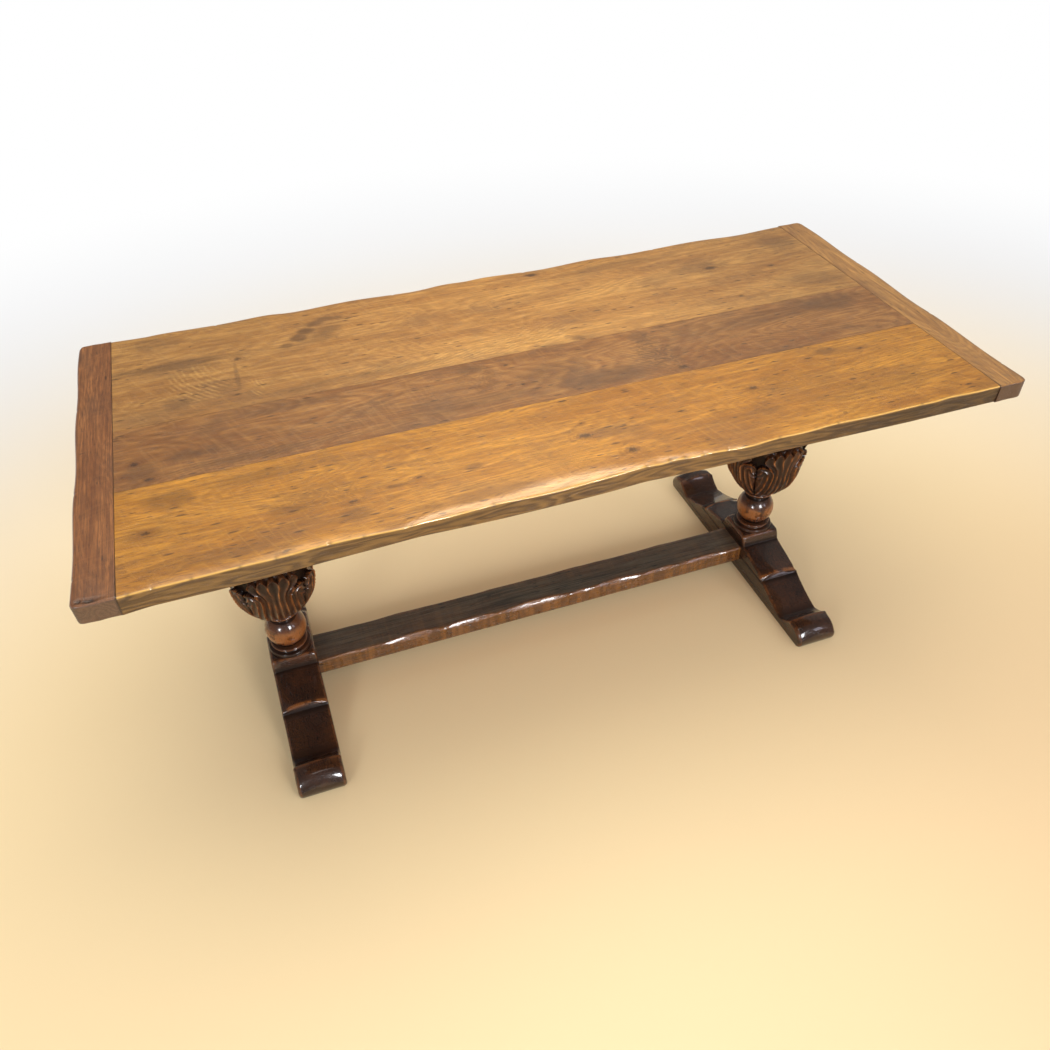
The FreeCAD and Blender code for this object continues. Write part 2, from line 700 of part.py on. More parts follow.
def makeFoot(label, side):
    """A trestle foot: a centre block, two hollowed stages each way and a rolled toe."""
    body = newBody(label)
    profile = newSketch(body, label + "Profile", "YZ_Plane")
    runs = [footPoint(item) for item in (
        toeFloorShares, toeRollShares, toeBackShares, toeRiseShares, valleyShares,
        stageTwoShares, riserShares, lipShares, stageOneShares, blockBaseShares)]
    floor, roll, back, rise, valley, stageTwo, riser, lip, stageOne, blockBase = runs
    blockTop = ("(footBlockLength / 2)", "footBlockHeight")
    far = [
        (*floor, *roll),
        (*back, *rise),
        (*valley, *stageTwo),
        riser,
        (*lip, *stageOne),
        blockBase,
        blockTop,
    ]
    nearSide = [
        (mirrored(blockTop[0]), blockTop[1]),
        (mirrored(blockBase[0]), blockBase[1], mirrored(stageOne[0]), stageOne[1]),
        (mirrored(lip[0]), lip[1]),
        (mirrored(riser[0]), riser[1], mirrored(stageTwo[0]), stageTwo[1]),
        (mirrored(valley[0]), valley[1], mirrored(rise[0]), rise[1]),
        (mirrored(back[0]), back[1], mirrored(roll[0]), roll[1]),
        (mirrored(floor[0]), floor[1]),
    ]
    drawOutline(profile, far + nearSide)
    addPad(body, profile, "footWidth", bothWays=True)
    lipPlace = (amount(lip[0]), amount(lip[1]))
    blockPlace = (amount(blockTop[0]), amount(blockTop[1]))

    def crossEdge(edge):
        box = edge.BoundBox
        if not near(box.YMin, box.YMax):
            return False
        places = (lipPlace, blockPlace)
        return any(near(abs(box.YMax), place[0]) and near(box.ZMax, place[1]) for place in places)
    roundEdges(body, label + "Lips", "footLipRadius", crossEdge)
    tenonHole = newSketch(body, label + "TenonHole", "XY_Plane", "footBlockHeight")
    drawCircle(tenonHole, "0", "0", "(footTenonRadius + jointClearance)")
    cutPocket(body, tenonHole, "(footTenonLength + jointClearance)", upward=False)
    mortise = newSketch(body, label + "Mortise", "XY_Plane", mortiseBase)
    inner = "(-footWidth / 2 - cutOverrun)"
    reach = f"({stretcherTenonReach} + jointClearance - footWidth / 2)"
    wide = "(stretcherTenonWidth / 2 + jointClearance)"
    drawRectangle(mortise, inner, reach, f"(-{wide})", wide)
    cutPocket(body, mortise, "(stretcherTenonThickness + 2 * jointClearance)")
    pegHole = newSketch(body, label + "PegHole", "XY_Plane")
    drawCircle(pegHole, pegAcross, "0", "(pegRadius + jointClearance)")
    cutPocket(body, pegHole, f"({pegTop} + jointClearance)")
    placeBody(body, f"({side} * {pedestalPlace})", "0", side < 0)


def makeStretcher():
    """The flat stretcher with hewn long edges, tenoned into both feet and pegged from below."""
    label = "stretcher"
    body = newBody(label)
    half = f"({pedestalPlace} - footWidth / 2)"
    swell = widestStretch(stretcherWaveShares) * waveSwellShare
    level = f"(stretcherWidth / 2 - 2 * {half} * {swell})"
    outline = newSketch(body, label + "Outline", "XY_Plane")
    corners = wave(f"(-{half})", half, f"(-{level})", stretcherWaveShares, -1)
    corners.append((half, f"(-{level})"))
    corners += wave(half, f"(-{half})", level, stretcherWaveShares, 1)
    corners.append((f"(-{half})", level))
    drawOutline(outline, corners)
    addPad(body, outline, "stretcherThickness")
    tenons = newSketch(body, label + "Tenons", "XY_Plane",
                       "((stretcherThickness - stretcherTenonThickness) / 2)")
    reach = f"({half} + {stretcherTenonReach})"
    wide = "(stretcherTenonWidth / 2)"
    drawRectangle(tenons, f"(-{reach})", reach, f"(-{wide})", wide)
    addPad(body, tenons, "stretcherTenonThickness")
    for number, side in enumerate((-1, 1)):
        hole = newSketch(body, f"{label}PegHole{number}", "XY_Plane")
        across = f"({side} * ({half} + {stretcherTenonReach} / 2))"
        drawCircle(hole, across, "0", "(pegRadius + jointClearance)")
        cutPocket(body, hole, "(stretcherThickness + cutOverrun)")
    tall = amount("stretcherThickness")

    def longEdge(edge):
        box = edge.BoundBox
        flat = liesFlatAt(edge, tall) or liesFlatAt(edge, 0)
        return flat and box.XLength > box.YLength
    bevelEdges(body, label + "Arris", "stretcherArris", longEdge)
    placeBody(body, "0", "(stretcherTopHeight - stretcherThickness)")


def makePeg(label, side):
    """A round peg driven up through the foot and the stretcher's tenon."""
    body = newBody(label)
    sketch = newSketch(body, label + "Round", "XY_Plane", "pegRecess")
    drawCircle(sketch, "0", "0", "pegRadius")
    addPad(body, sketch, f"({pegTop} - pegRecess)")
    placeBody(body, f"({side} * ({pedestalPlace} + {pegAcross}))", "0")


def checkModel():
    """Stops before anything is written if a step failed or a piece is broken."""
    for item in doc.Objects:
        if {"Invalid", "Error"} & set(item.State):
            raise RuntimeError(f"{item.Name} is {item.State}")
    for body in subparts:
        shape = body.Shape
        if shape.isNull() or not shape.isValid():
            raise RuntimeError(body.Label + " has no sound solid")


makeTop()
makeCleat("cleat_right", False)
makeCleat("cleat_left", True)
for sideName, sideSign in (("left", -1), ("right", 1)):
    makeBearer("bearer_" + sideName, sideSign)
    makeScrews("bearer_screws_" + sideName, sideSign)
    makePedestal("pedestal_" + sideName, sideSign)
    makeFoot("foot_" + sideName, sideSign)
    makePeg("stretcher_peg_" + sideName, sideSign)
makeStretcher()
doc.recompute()
checkModel()

os.makedirs("parts", exist_ok=True)
for body in subparts:
    body.Shape.exportStep(f"parts/{body.Label}.step")
    box = body.Shape.BoundBox
    print(f"{body.Label}: {len(body.Shape.Solids)} solid, {body.Shape.Volume:.0f} mm3, "
          f"x {box.XMin:.1f}..{box.XMax:.1f}, y {box.YMin:.1f}..{box.YMax:.1f}, "
          f"z {box.ZMin:.1f}..{box.ZMax:.1f}")
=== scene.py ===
import math

import bpy
import numpy as np
from mathutils import Matrix, Vector


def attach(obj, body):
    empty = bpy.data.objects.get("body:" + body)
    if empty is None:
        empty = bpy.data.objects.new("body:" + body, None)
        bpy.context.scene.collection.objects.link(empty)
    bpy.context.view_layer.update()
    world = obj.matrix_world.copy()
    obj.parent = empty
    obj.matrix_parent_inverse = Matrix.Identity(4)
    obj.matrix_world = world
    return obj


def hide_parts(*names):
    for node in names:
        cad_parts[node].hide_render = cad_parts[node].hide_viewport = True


# Refectory table in oak. The frame is the CAD frame, in metres. Tables of shapes and marks are in
# millimetres.
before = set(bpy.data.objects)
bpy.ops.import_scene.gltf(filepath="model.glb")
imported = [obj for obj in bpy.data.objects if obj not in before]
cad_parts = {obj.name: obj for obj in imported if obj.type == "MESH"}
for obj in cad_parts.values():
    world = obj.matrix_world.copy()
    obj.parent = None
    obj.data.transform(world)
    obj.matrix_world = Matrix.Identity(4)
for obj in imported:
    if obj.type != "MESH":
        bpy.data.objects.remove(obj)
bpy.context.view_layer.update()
mm = 0.001
print("frame loaded")


# Camera, at the place solved from the parallel edges of the top and the feet

cameraView = {
    "right": (0.9421673, -0.33483225, -0.01442682),
    "up": (0.23055832, 0.61631212, 0.75299551),
    "back": (-0.24323575, -0.71277397, 0.65786749),
    "place": (-0.5586, -1.5561, 1.7646),
    "lens": 30.97,
    "shiftUp": -0.0052,
}
lens = bpy.data.cameras.new("Camera")
lens.lens = cameraView["lens"]
lens.sensor_width = 36
lens.shift_y = cameraView["shiftUp"]
lens.clip_end = 100
camera = bpy.data.objects.new("Camera", lens)
bpy.context.scene.collection.objects.link(camera)
stand = Matrix([(*cameraView[way], 0) for way in ("right", "up", "back", "place")]).transposed()
stand[3][3] = 1
camera.matrix_world = stand
bpy.context.scene.camera = camera
bpy.context.scene.view_settings.view_transform = "Standard"


# Light: soft boxes where the photo's windows, ceiling and right wall are. The gleams show only in
# reflections, on polished parts.

softBoxes = {
    "WindowLeft": {"place": (-3.2, -3.2, 1.8), "size": (0.75, 1.1), "power": 36, "tint": (0.95, 0.97, 1)},
    "WindowRight": {"place": (0.75, -3.3, 1.8), "size": (0.85, 1.2), "power": 44, "tint": (0.97, 0.98, 1)},
    "WindowFar": {"place": (2.6, -3.2, 1.8), "size": (0.8, 1.2), "power": 14, "tint": (0.86, 0.84, 1)},
    "Ceiling": {"place": (-0.1, 0.4, 3.6), "size": (3.4, 2.8), "power": 76, "tint": (1, 0.98, 0.94)},
    "RightWall": {"place": (1.8, 1.1, 1.5), "size": (2.2, 1.6), "power": 2, "tint": (1, 0.95, 0.82)},
    "GleamLeft": {"place": (-3.1, -3.1, 1.8), "size": (0.7, 1.0), "power": 56, "tint": (0.93, 0.96, 1)},
    "GleamRight": {"place": (0.75, -3.2, 1.8), "size": (0.8, 1.1), "power": 70, "tint": (0.93, 0.96, 1)},
    "GleamAbove": {"place": (0.4, 0.5, 2.9), "size": (1.3, 0.9), "power": 62, "tint": (1, 0.9, 0.66)},
}
for name, box in softBoxes.items():
    lamp = bpy.data.lights.new(name, "AREA")
    lamp.shape = "RECTANGLE"
    lamp.size, lamp.size_y = box["size"]
    lamp.energy = box["power"]
    lamp.color = box["tint"]
    holder = bpy.data.objects.new(name, lamp)
    bpy.context.scene.collection.objects.link(holder)
    holder.location = box["place"]
    aim = Vector((0, 0, 0.5)) - holder.location
    holder.rotation_euler = aim.to_track_quat("-Z", "Y").to_euler()
    holder.visible_diffuse = not name.startswith("Gleam")


# Shader helpers

# A node's output. Plus, minus, times and divide on it add maths nodes.
class Wire:
    def __init__(self, socket):
        self.socket = socket

    def __add__(self, other):
        return maths("ADD", self, other)

    def __sub__(self, other):
        return maths("SUBTRACT", self, other)

    def __rsub__(self, other):
        return maths("SUBTRACT", other, self)

    def __mul__(self, other):
        return maths("MULTIPLY", self, other)

    def __truediv__(self, other):
        return maths("DIVIDE", self, other)


def treeOf(*values):
    return next(value.socket.id_data for value in values if isinstance(value, Wire))


# Puts a wire or a plain value into a socket
def feed(socket, value):
    if isinstance(value, Wire):
        socket.id_data.links.new(value.socket, socket)
    else:
        socket.default_value = (*value, 1) if socket.type == "RGBA" else value


# Sets properties and sockets by name, with an underscore for each space in a socket's name
def setNode(node, **values):
    for key, value in values.items():
        if hasattr(node, key):
            setattr(node, key, value)
        else:
            feed(node.inputs[key.replace("_", " ")], value)
    return node


def addNode(tree, kind, **values):
    return setNode(tree.nodes.new("ShaderNode" + kind), **values)


def feedInTurn(node, values):
    for socket, value in zip(node.inputs, values):
        feed(socket, value)


def maths(what, *values):
    vector = any(isinstance(value, Wire) and value.socket.type == "VECTOR" for value in values)
    node = addNode(treeOf(*values), "VectorMath" if vector else "Math", operation=what)
    feedInTurn(node, values)
    return Wire(node.outputs["Value" if what in ("LENGTH", "DISTANCE") else 0])


def ramp(value, low, high, lowOut=0, highOut=1, kind="SMOOTHSTEP"):
    node = addNode(treeOf(value), "MapRange", interpolation_type=kind)
    feedInTurn(node, (value, low, high, lowOut, highOut))
    return Wire(node.outputs[0])


def mix(share, first, second, way="MIX"):
    node = addNode(treeOf(share, first, second), "Mix", data_type="RGBA", blend_type=way)
    for number, value in ((0, share), (6, first), (7, second)):
        feed(node.inputs[number], value)
    return Wire(node.outputs[2])


def noise(place, scale, detail, roughness):
    node = addNode(treeOf(place), "TexNoise", Vector=place, Scale=scale, Detail=detail, Roughness=roughness)
    return Wire(node.outputs["Fac"])


def parts(place):
    return [Wire(socket) for socket in addNode(treeOf(place), "SeparateXYZ", Vector=place).outputs]


def joined(x, y, z):
    return Wire(addNode(treeOf(x, y, z), "CombineXYZ", X=x, Y=y, Z=z).outputs[0])


def bump(height, distance, strength):
    return Wire(addNode(treeOf(height), "Bump", Height=height, Distance=distance, Strength=strength).outputs[0])


def named(sockets):
    return {socket.name: Wire(socket) for socket in sockets if socket.name}


# A group's sockets are listed by kind, as in "Vector Place Centre, Float Count"
def newGroup(name, inputs, outputs):
    group = bpy.data.node_groups.new(name, "ShaderNodeTree")
    for way, listed in (("INPUT", inputs), ("OUTPUT", outputs)):
        for batch in listed.split(", "):
            kind, *labels = batch.split()
            for label in labels:
                group.interface.new_socket(label, in_out=way, socket_type="NodeSocket" + kind)
    given = named(group.nodes.new("NodeGroupInput").outputs)
    return group, given, group.nodes.new("NodeGroupOutput")


def useGroup(group, **values):
    return named(addNode(treeOf(*values.values()), "Group", node_tree=group, **values).outputs)


# Lines where a level passes each whole number: how soon they rise, and where they start and end their fall
def linesAt(level, risen, falling, fallen):
    saw = maths("FRACT", level)
    return ramp(saw, 0, risen) * ramp(saw, falling, fallen)


# The distance from a group's Centre, as a share of its Reach, made ragged by noise
def raggedAway(given, scale, roughness, amount):
    away = maths("LENGTH", (given["Place"] - given["Centre"]) / given["Reach"])
    return away + (noise(given["Place"], scale, 3, roughness) - 0.5) * amount


# Oak grain: broad bands, fine growth lines that wander, contour figure, pores and stains.
# The grain runs along X of the place that comes in.

oakGrain, given, out = newGroup(
    "OakGrain", "Vector Place, Float Seed Spacing Wander Figure", "Float Lines Bands Figure Pores Stain Mottle")
place = given["Place"] + joined(*[given["Seed"] * factor for factor in (3.71, 1.37, 2.19)])
sway = (noise(place * (1.3, 6, 6), 1, 1.5, 0.45) - 0.5) * given["Wander"]
bent = place + joined(0, sway, sway)
x, y, z = parts(bent)
fine = joined(x * 7, y / given["Spacing"], z / given["Spacing"])
bands = noise(bent * (2.2, 11, 11), 1, 3, 0.55) * 0.55 + noise(bent * (5, 60, 60), 1, 4, 0.65) * 0.45
figure = linesAt(noise(bent * (1.7, 8, 8), 1, 1.6, 0.42) * 34, 0.3, 1, 0.35)
setNode(out,
        Lines=ramp(noise(fine, 1, 4, 0.62), 0.3, 0.7),
        Bands=ramp(bands, 0.36, 0.64),
        Figure=figure * given["Figure"],
        Pores=ramp(noise(bent * (48, 820, 820), 1, 2, 0.6), 0.54, 0.66),
        Stain=ramp(noise(place * (7, 13, 13), 1, 4, 0.6), 0.48, 0.7),
        Mottle=ramp(noise(place * (24, 95, 95), 1, 4, 0.68), 0.3, 0.7, 0, 1, "LINEAR"))

# One knot: a dark eye in rings
oakKnot, given, out = newGroup("OakKnot", "Vector Place Centre Reach", "Float Eye Halo")
away = raggedAway(given, 190, 0.7, 2)
rings = maths("SINE", away * 7)
setNode(out, Eye=ramp(away, 1.1, 0.5), Halo=ramp(away, 3.2, 0.9) * ramp(rings, -1.2, 1))

# A soft patch, for a part of a board that looks unlike the rest
softPatch, given, out = newGroup("SoftPatch", "Vector Place Centre Reach", "Float Patch")
setNode(out, Patch=ramp(raggedAway(given, 14, 0.6, 0.9), 1.15, 0.4))

# Small dark marks scattered on worn oak
darkDashes, given, out = newGroup("DarkDashes", "Vector Place Stretch, Float Amount Size", "Float Marks")
cells = addNode(darkDashes, "TexVoronoi", Vector=given["Place"] * given["Stretch"], Scale=1, Randomness=1)
lot = addNode(darkDashes, "SeparateColor")
feedInTurn(lot, [Wire(cells.outputs["Color"])])
chosen = maths("LESS_THAN", Wire(lot.outputs[0]), given["Amount"])
size = given["Size"] * (Wire(lot.outputs[1]) + 0.35)
setNode(out, Marks=ramp(Wire(cells.outputs["Distance"]) / size, 1, 0.4) * chosen)

# Medullary flecks: short pale bars that cross the grain
rayFlecks, given, out = newGroup("RayFlecks", "Vector Place, Float Slant", "Float Flecks")
x, y, z = parts(given["Place"])
across = x + y * given["Slant"] + noise(given["Place"], 7, 1, 0.5) * 0.06
setNode(out, Flecks=ramp(noise(joined(across * 150, y * 14, z * 14), 1, 2, 0.5), 0.53, 0.68))

# Thin curved lines round a centre, where the rays or the growth lines fan out
fannedLines, given, out = newGroup("FannedLines", "Vector Place Centre, Float Count", "Float Lines")
away = maths("DISTANCE", given["Place"], given["Centre"]) + noise(given["Place"], 9, 1, 0.5) * 0.02
broken = ramp(noise(given["Place"], 60, 3, 0.6), 0.35, 0.6)
setNode(out, Lines=linesAt(away * given["Count"], 0.25, 0.7, 0.35) * broken)

# Contour lines like those on a sawn edge or round a burr
oakContour, given, out = newGroup("OakContour", "Vector Place Stretch, Float Count", "Float Lines")
level = noise(given["Place"] * given["Stretch"], 1, 2, 0.45) * given["Count"]
setNode(out, Lines=linesAt(level, 0.3, 1, 0.4))


def newMaterial(name):
    material = bpy.data.materials.new(name)
    material.use_nodes = True
    material.node_tree.nodes.clear()
    surface = addNode(material.node_tree, "BsdfPrincipled")
    addNode(material.node_tree, "OutputMaterial", Surface=Wire(surface.outputs[0]))
    return material, surface


# The piece's own coordinates, turned if asked
def objectPlace(surface, turn=None):
    place = Wire(addNode(surface.id_data, "TexCoord").outputs["Object"])
    if turn:
        place = Wire(addNode(surface.id_data, "Mapping", Vector=place, Rotation=turn).outputs[0])
    return place


def attribute(surface, name):
    return Wire(addNode(surface.id_data, "Attribute", attribute_name=name).outputs["Fac"])


# The table top's oak: one material per board, by its dictionary of settings

topHeight = 0.76
topThick = 0.04


# Where a mark lies on the top and how far it reaches
def markAt(place, x, y, wide, deep):
    return {"Place": place, "Centre": (x * mm, y * mm, topHeight), "Reach": (wide * mm, deep * mm, 0.1)}


def makeTopOak(name, look):
    material, surface = newMaterial(name)
    plain = objectPlace(surface)
    place = objectPlace(surface, (0, 0, math.pi / 2)) if look.get("grainAcross") else plain
    grain = useGroup(oakGrain, Place=place, Seed=look["seed"], Spacing=look["spacing"],
                     Wander=look["wander"], Figure=look["figure"])
    colour = mix(grain["Bands"], look["dark"], look["pale"])
    colour = mix(grain["Lines"] * look["lineShare"], colour, look["line"])
    colour = mix(grain["Figure"], colour, look["figureColour"])
    colour = mix(grain["Stain"] * look["stainShare"], colour, look["smudge"])
    flecks = useGroup(rayFlecks, Place=place, Slant=look["fleckSlant"])["Flecks"]
    colour = mix(flecks * look["fleckShare"], colour, look["fleck"])
    for *spot, farX, farY, count, share in look.get("fans", ()):
        patch = useGroup(softPatch, **markAt(plain, *spot))["Patch"]
        far = (farX * mm, farY * mm, topHeight)
        fan = useGroup(fannedLines, Place=plain, Centre=far, Count=count)["Lines"]
        colour = mix(fan * patch * share, colour, look["fleck"])
    for *spot, share in look.get("burrs", ()):
        patch = useGroup(softPatch, **markAt(plain, *spot))["Patch"]
        curls = useGroup(oakContour, Place=place, Stretch=(16, 30, 30), Count=14)["Lines"]
        colour = mix(curls * patch * share, colour, look["smudge"])
    for *spot, share in look.get("smudges", ()):
        colour = mix(useGroup(softPatch, **markAt(plain, *spot))["Patch"] * share, colour, look["smudge"])
    pit = grain["Pores"]
    for spot in look.get("knots", ()):
        knot = useGroup(oakKnot, **markAt(plain, *spot))
        colour = mix(knot["Halo"] * 0.6, colour, look["halo"])
        colour = mix(knot["Eye"] * 0.7, colour, look["mark"])
        pit = pit + knot["Eye"]
    for stretch, amount, size in look["dashes"]:
        marks = useGroup(darkDashes, Place=place, Stretch=stretch, Amount=amount, Size=size)["Marks"]
        colour = mix(marks * 0.65, colour, look["mark"])
        pit = pit + marks
    colour = mix(grain["Pores"] * look["poreShare"], colour, look["mark"])
    along = parts(plain)[0]
    mottleAndShade = ramp(grain["Mottle"], 0, 1, 0.84, 1.16, "LINEAR")
    # The boards are painted lighter in the middle and darker towards both ends: painted light and shade, on top of
    # the random mottle.
    mottleAndShade = mottleAndShade * ramp(maths("ABSOLUTE", along - 0.05), 0.1, 0.75, look["litMiddle"], look["shadedEnds"])
    colour = mix(1, colour, mottleAndShade, "MULTIPLY")
    sawn = useGroup(oakContour, Place=place, Stretch=(4.5, 22, 28), Count=10)["Lines"]
    flank = mix(sawn * 0.7 + grain["Lines"] * 0.3, look["flank"], look["flankLine"])
    # The side faces are painted darker towards the right end: painted shade.
    flank = mix(1, flank, mottleAndShade * ramp(along, 0.15, 0.7, 1, 0.45), "MULTIPLY")
    colour = mix(attribute(surface, "side"), colour, flank)
    edge = attribute(surface, "edge")
    colour = mix(edge, colour, look["edge"])
    colour = mix(attribute(surface, "grime"), colour, look["mark"])
    setNode(surface, Base_Color=colour, IOR=1.45,
            Roughness=grain["Stain"] * 0.08 + grain["Lines"] * 0.06 + look["rough"] - edge * 0.1,
            Coat_Weight=edge * 0.75 + look["coat"], Coat_Roughness=ramp(edge, 0, 0.6, 0.2, 0.07),
            Normal=bump(grain["Lines"] * 0.25 - pit, 0.0004, 0.5))
    return material


# Piece helpers

# A Catmull-Rom curve through the points
def smoothed(points, steps):
    path = np.array([points[0], *points, points[-1]], dtype=float)
    out = []
    for number in range(1, len(path) - 2):
        a, b, c, d = path[number - 1:number + 3]
        for step in range(steps):
            t = step / steps
            out.append(0.5 * (2 * b + (c - a) * t + (2 * a - 5 * b + 4 * c - d) * t * t
                              + (3 * b - a - 3 * c + d) * t ** 3))
    out.append(path[-1])
    return np.array(out)


def curveValues(values, points, steps):
    return np.interp(values, *smoothed(points, steps).T)


def setMode(mode):
    bpy.ops.object.mode_set(mode=mode)


def clearSelection():
    if bpy.context.object and bpy.context.object.mode != "OBJECT":
        setMode("OBJECT")
    bpy.ops.object.select_all(action="DESELECT")


def makeActive(piece):
    clearSelection()
    piece.select_set(True)
    bpy.context.view_layer.objects.active = piece


def settle(piece, name):
    makeActive(piece)
    bpy.ops.object.transform_apply(location=True, rotation=True, scale=True)
    piece.name = name
    piece.data.name = name
    return piece


def blockBetween(name, low, high):
    clearSelection()
    bpy.ops.mesh.primitive_cube_add(size=1, location=[(a + b) / 2 for a, b in zip(low, high)])
    piece = bpy.context.object
    piece.scale = [b - a for a, b in zip(low, high)]
    return settle(piece, name)


# Cuts the whole piece across one axis at each place, without parting it
def slicePiece(piece, axis, places):
    normal = [0, 0, 0]
    normal[axis] = 1
    makeActive(piece)
    setMode("EDIT")
    for place in places:
        bpy.ops.mesh.select_all(action="SELECT")
        bpy.ops.mesh.bisect(plane_co=[place * part for part in normal], plane_no=normal)
    setMode("OBJECT")


def readAll(items, name, width=3, kind=float):
    values = np.empty(len(items) * width, dtype=kind)
    items.foreach_get(name, values)
    return values.reshape(-1, width)


def writePoints(piece, *places):
    piece.data.vertices.foreach_set("co", np.column_stack(places).ravel())
    piece.data.update()


# Selects the chosen edges or corners, and stays in edit mode
def choose(piece, kind, chosen):
    makeActive(piece)
    setMode("EDIT")
    bpy.ops.mesh.select_mode(type=kind)
    bpy.ops.mesh.select_all(action="DESELECT")
    setMode("OBJECT")
    (piece.data.edges if kind == "EDGE" else piece.data.vertices).foreach_set("select", chosen)
    setMode("EDIT")


# Subdivides the edges that lie along one axis, by each number in turn
def splitAlong(piece, axis, passes):
    for count in passes:
        places = readAll(piece.data.vertices, "co")
        pairs = readAll(piece.data.edges, "vertices", 2, np.int32)
        run = np.abs(places[pairs[:, 1]] - places[pairs[:, 0]])
        choose(piece, "EDGE", run[:, axis] > 0.999 * np.linalg.norm(run, axis=1))
        bpy.ops.mesh.subdivide(number_cuts=count - 1)
        setMode("OBJECT")


def writeValues(piece, **layers):
    for name, values in layers.items():
        layer = piece.data.attributes.new(name, "FLOAT", "POINT")
        values = values + np.zeros(len(piece.data.vertices))
        layer.data.foreach_set("value", np.clip(values, 0, 1).astype(np.float32))


# How upright a board's faces are, from its own normals
def sidesOf(piece):
    lean = np.abs(readAll(piece.data.vertices, "normal")[:, 2])
    return (0.62 - lean) / 0.25


# Outward normals, soft shading, material, and the piece's place in the frame
def finishPiece(piece, material, nodes, angle=35):
    makeActive(piece)
    setMode("EDIT")
    bpy.ops.mesh.select_all(action="SELECT")
    bpy.ops.mesh.normals_make_consistent(inside=False)
    setMode("OBJECT")
    bpy.ops.object.shade_smooth_by_angle(angle=math.radians(angle))
    piece.data.materials.clear()
    piece.data.materials.append(material)
    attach(piece, "root")
    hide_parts(*nodes)
    print("made", piece.name, len(piece.data.polygons))


# Rounds the corner where both distances are under the radius
def roundCorner(first, second, radius):
    inside = (first < radius) & (second < radius)
    u = np.where(inside, (radius - first) / radius, 0)
    v = np.where(inside, (radius - second) / radius, 0)
    first = np.where(inside, radius * (1 - u * np.sqrt(1 - v * v / 2)), first)
    second = np.where(inside, radius * (1 - v * np.sqrt(1 - u * u / 2)), second)
    return first, second


# Planed edges of the top. Each step gives the place along the edge, the arris's set-back and drop, the
# foot's set-back, and the width over which the top rolls down to the arris. A nick has a place and a depth.

boardEdges = {
    -1: {
        "steps": (
            (-845, -2, 1, -3, 14), (-805, 0, 1, 1.5, 14), (-775, 2.5, 3, 1.8, 18), (-700, 3, 2.5, 1.5, 18),
            (-640, 3.5, 2, 2.2, 16), (-580, 5, 3.5, 4.2, 20), (-519, 7.5, 2.5, 6.5, 20), (-440, 3, 1, 9, 14),
            (-388, 0, 0.8, 11, 12), (-350, 4, 3, 12, 18), (-300, 6, 4.5, 10, 24), (-214, 8, 3, 7.4, 20),
            (-130, 9.5, 7.5, 7.2, 34), (-43, 11.5, 7, 8, 34), (10, 12, 5, 9.5, 26), (65, 12.4, 2.5, 12.6, 20),
            (100, 12, 4.5, 11.5, 24), (128, 12.5, 3, 10.5, 18), (165, 9, 3.5, 9, 20), (202, 6, 1.2, 7.5, 16),
            (240, 3, 2.5, 7, 16), (274, -1.5, 0.8, 6.7, 12), (334, 2.5, 1, 8, 14), (400, 3.5, 3.5, 7, 20),
            (460, 5, 1.5, 5.6, 16), (550, 4.5, 4, 3.5, 22), (637, 1.2, 1.2, 1.6, 14), (690, 2, 3, 1.4, 18),
            (729, 3, 1.5, 1, 14), (790, 1, 2.5, 0.8, 16), (845, -1, 1, 0.4, 14),
        ),
        "nicks": (
            (-828, 0.8), (-790, 1), (-731, 0.6), (-655, 0.8), (-597, 0.6), (-508, 1.2), (-452, 0.7),
            (-371, 1), (-223, 0.8), (71, 0.7), (118, 1.2), (149, 1), (186, 1), (232, 0.7), (341, 0.8),
            (471, 0.8), (660, 0.6),
        ),
        "radius": 2.2, "fade": 120,
    },
    1: {
        "steps": (
            (-845, 0, 1, 0.3, 14), (-775, 1.7, 2, 1.4, 18), (-730, 0.6, 1.2, 1.1, 14),
            (-607, 1.7, 2.5, 1.7, 20), (-510, -0.6, 1, 0.6, 14), (-440, 3.3, 3, 2.8, 22),
            (-310, 0, 1, 0.8, 14), (-165, 3.6, 3.5, 3.3, 24), (-87, -0.3, 1, 0.6, 14), (-30, 0.8, 2, 0.8, 18),
            (28, -0.3, 1, 0.6, 14), (160, 4.4, 3.5, 3.9, 24), (293, 0.6, 1, 1.1, 14), (400, 3.3, 3, 3.3, 22),
            (581, 1.1, 1, 1.1, 14), (710, 5, 3, 4.4, 22), (802, 2.2, 1.5, 2.2, 14), (845, 1.1, 1, 1.1, 14),
        ),
        "nicks": ((-620, 0.8), (-210, 0.8), (120, 0.8), (470, 0.8)),
        "radius": 3, "fade": 120,
    },
}


def planeEdge(along, inward, below, edge):
    steps = np.array(edge["steps"]) * mm
    top, drop, base, wide = [curveValues(along, steps[:, (0, number)], 8) for number in (1, 2, 3, 4)]
    corner = np.hypot(inward, below)
    roll = np.clip(1 - inward / wide, 0, 1) ** 2
    wear = np.where(below < 0.003, roll * drop / 0.024, 0)
    wear = np.maximum(wear, np.exp(-(corner / 0.0022) ** 2))
    inward, below = roundCorner(inward, below, edge["radius"] * mm)
    inward, above = roundCorner(inward, topThick - below, 0.0026)
    below = drop * roll + (topThick - above) * (1 - drop * roll / topThick)
    level = np.clip(below / topThick, 0, 1)
    inward = inward + (top + (base - top) * level) * np.clip(1 - inward / (edge["fade"] * mm), 0, 1)
    dirt = np.zeros(len(along))
    for place, deep in np.array(edge["nicks"]) * mm:
        dent = np.exp(-((along - place) / 0.0034) ** 2 - (corner / 0.0055) ** 2)
        inward = inward + dent * deep
        below = below + dent * deep
        dirt = np.maximum(dirt, dent * 0.5)
    return inward, below, wear, dirt


# Table top boards. The front board lies towards the camera, the back board at the wall.

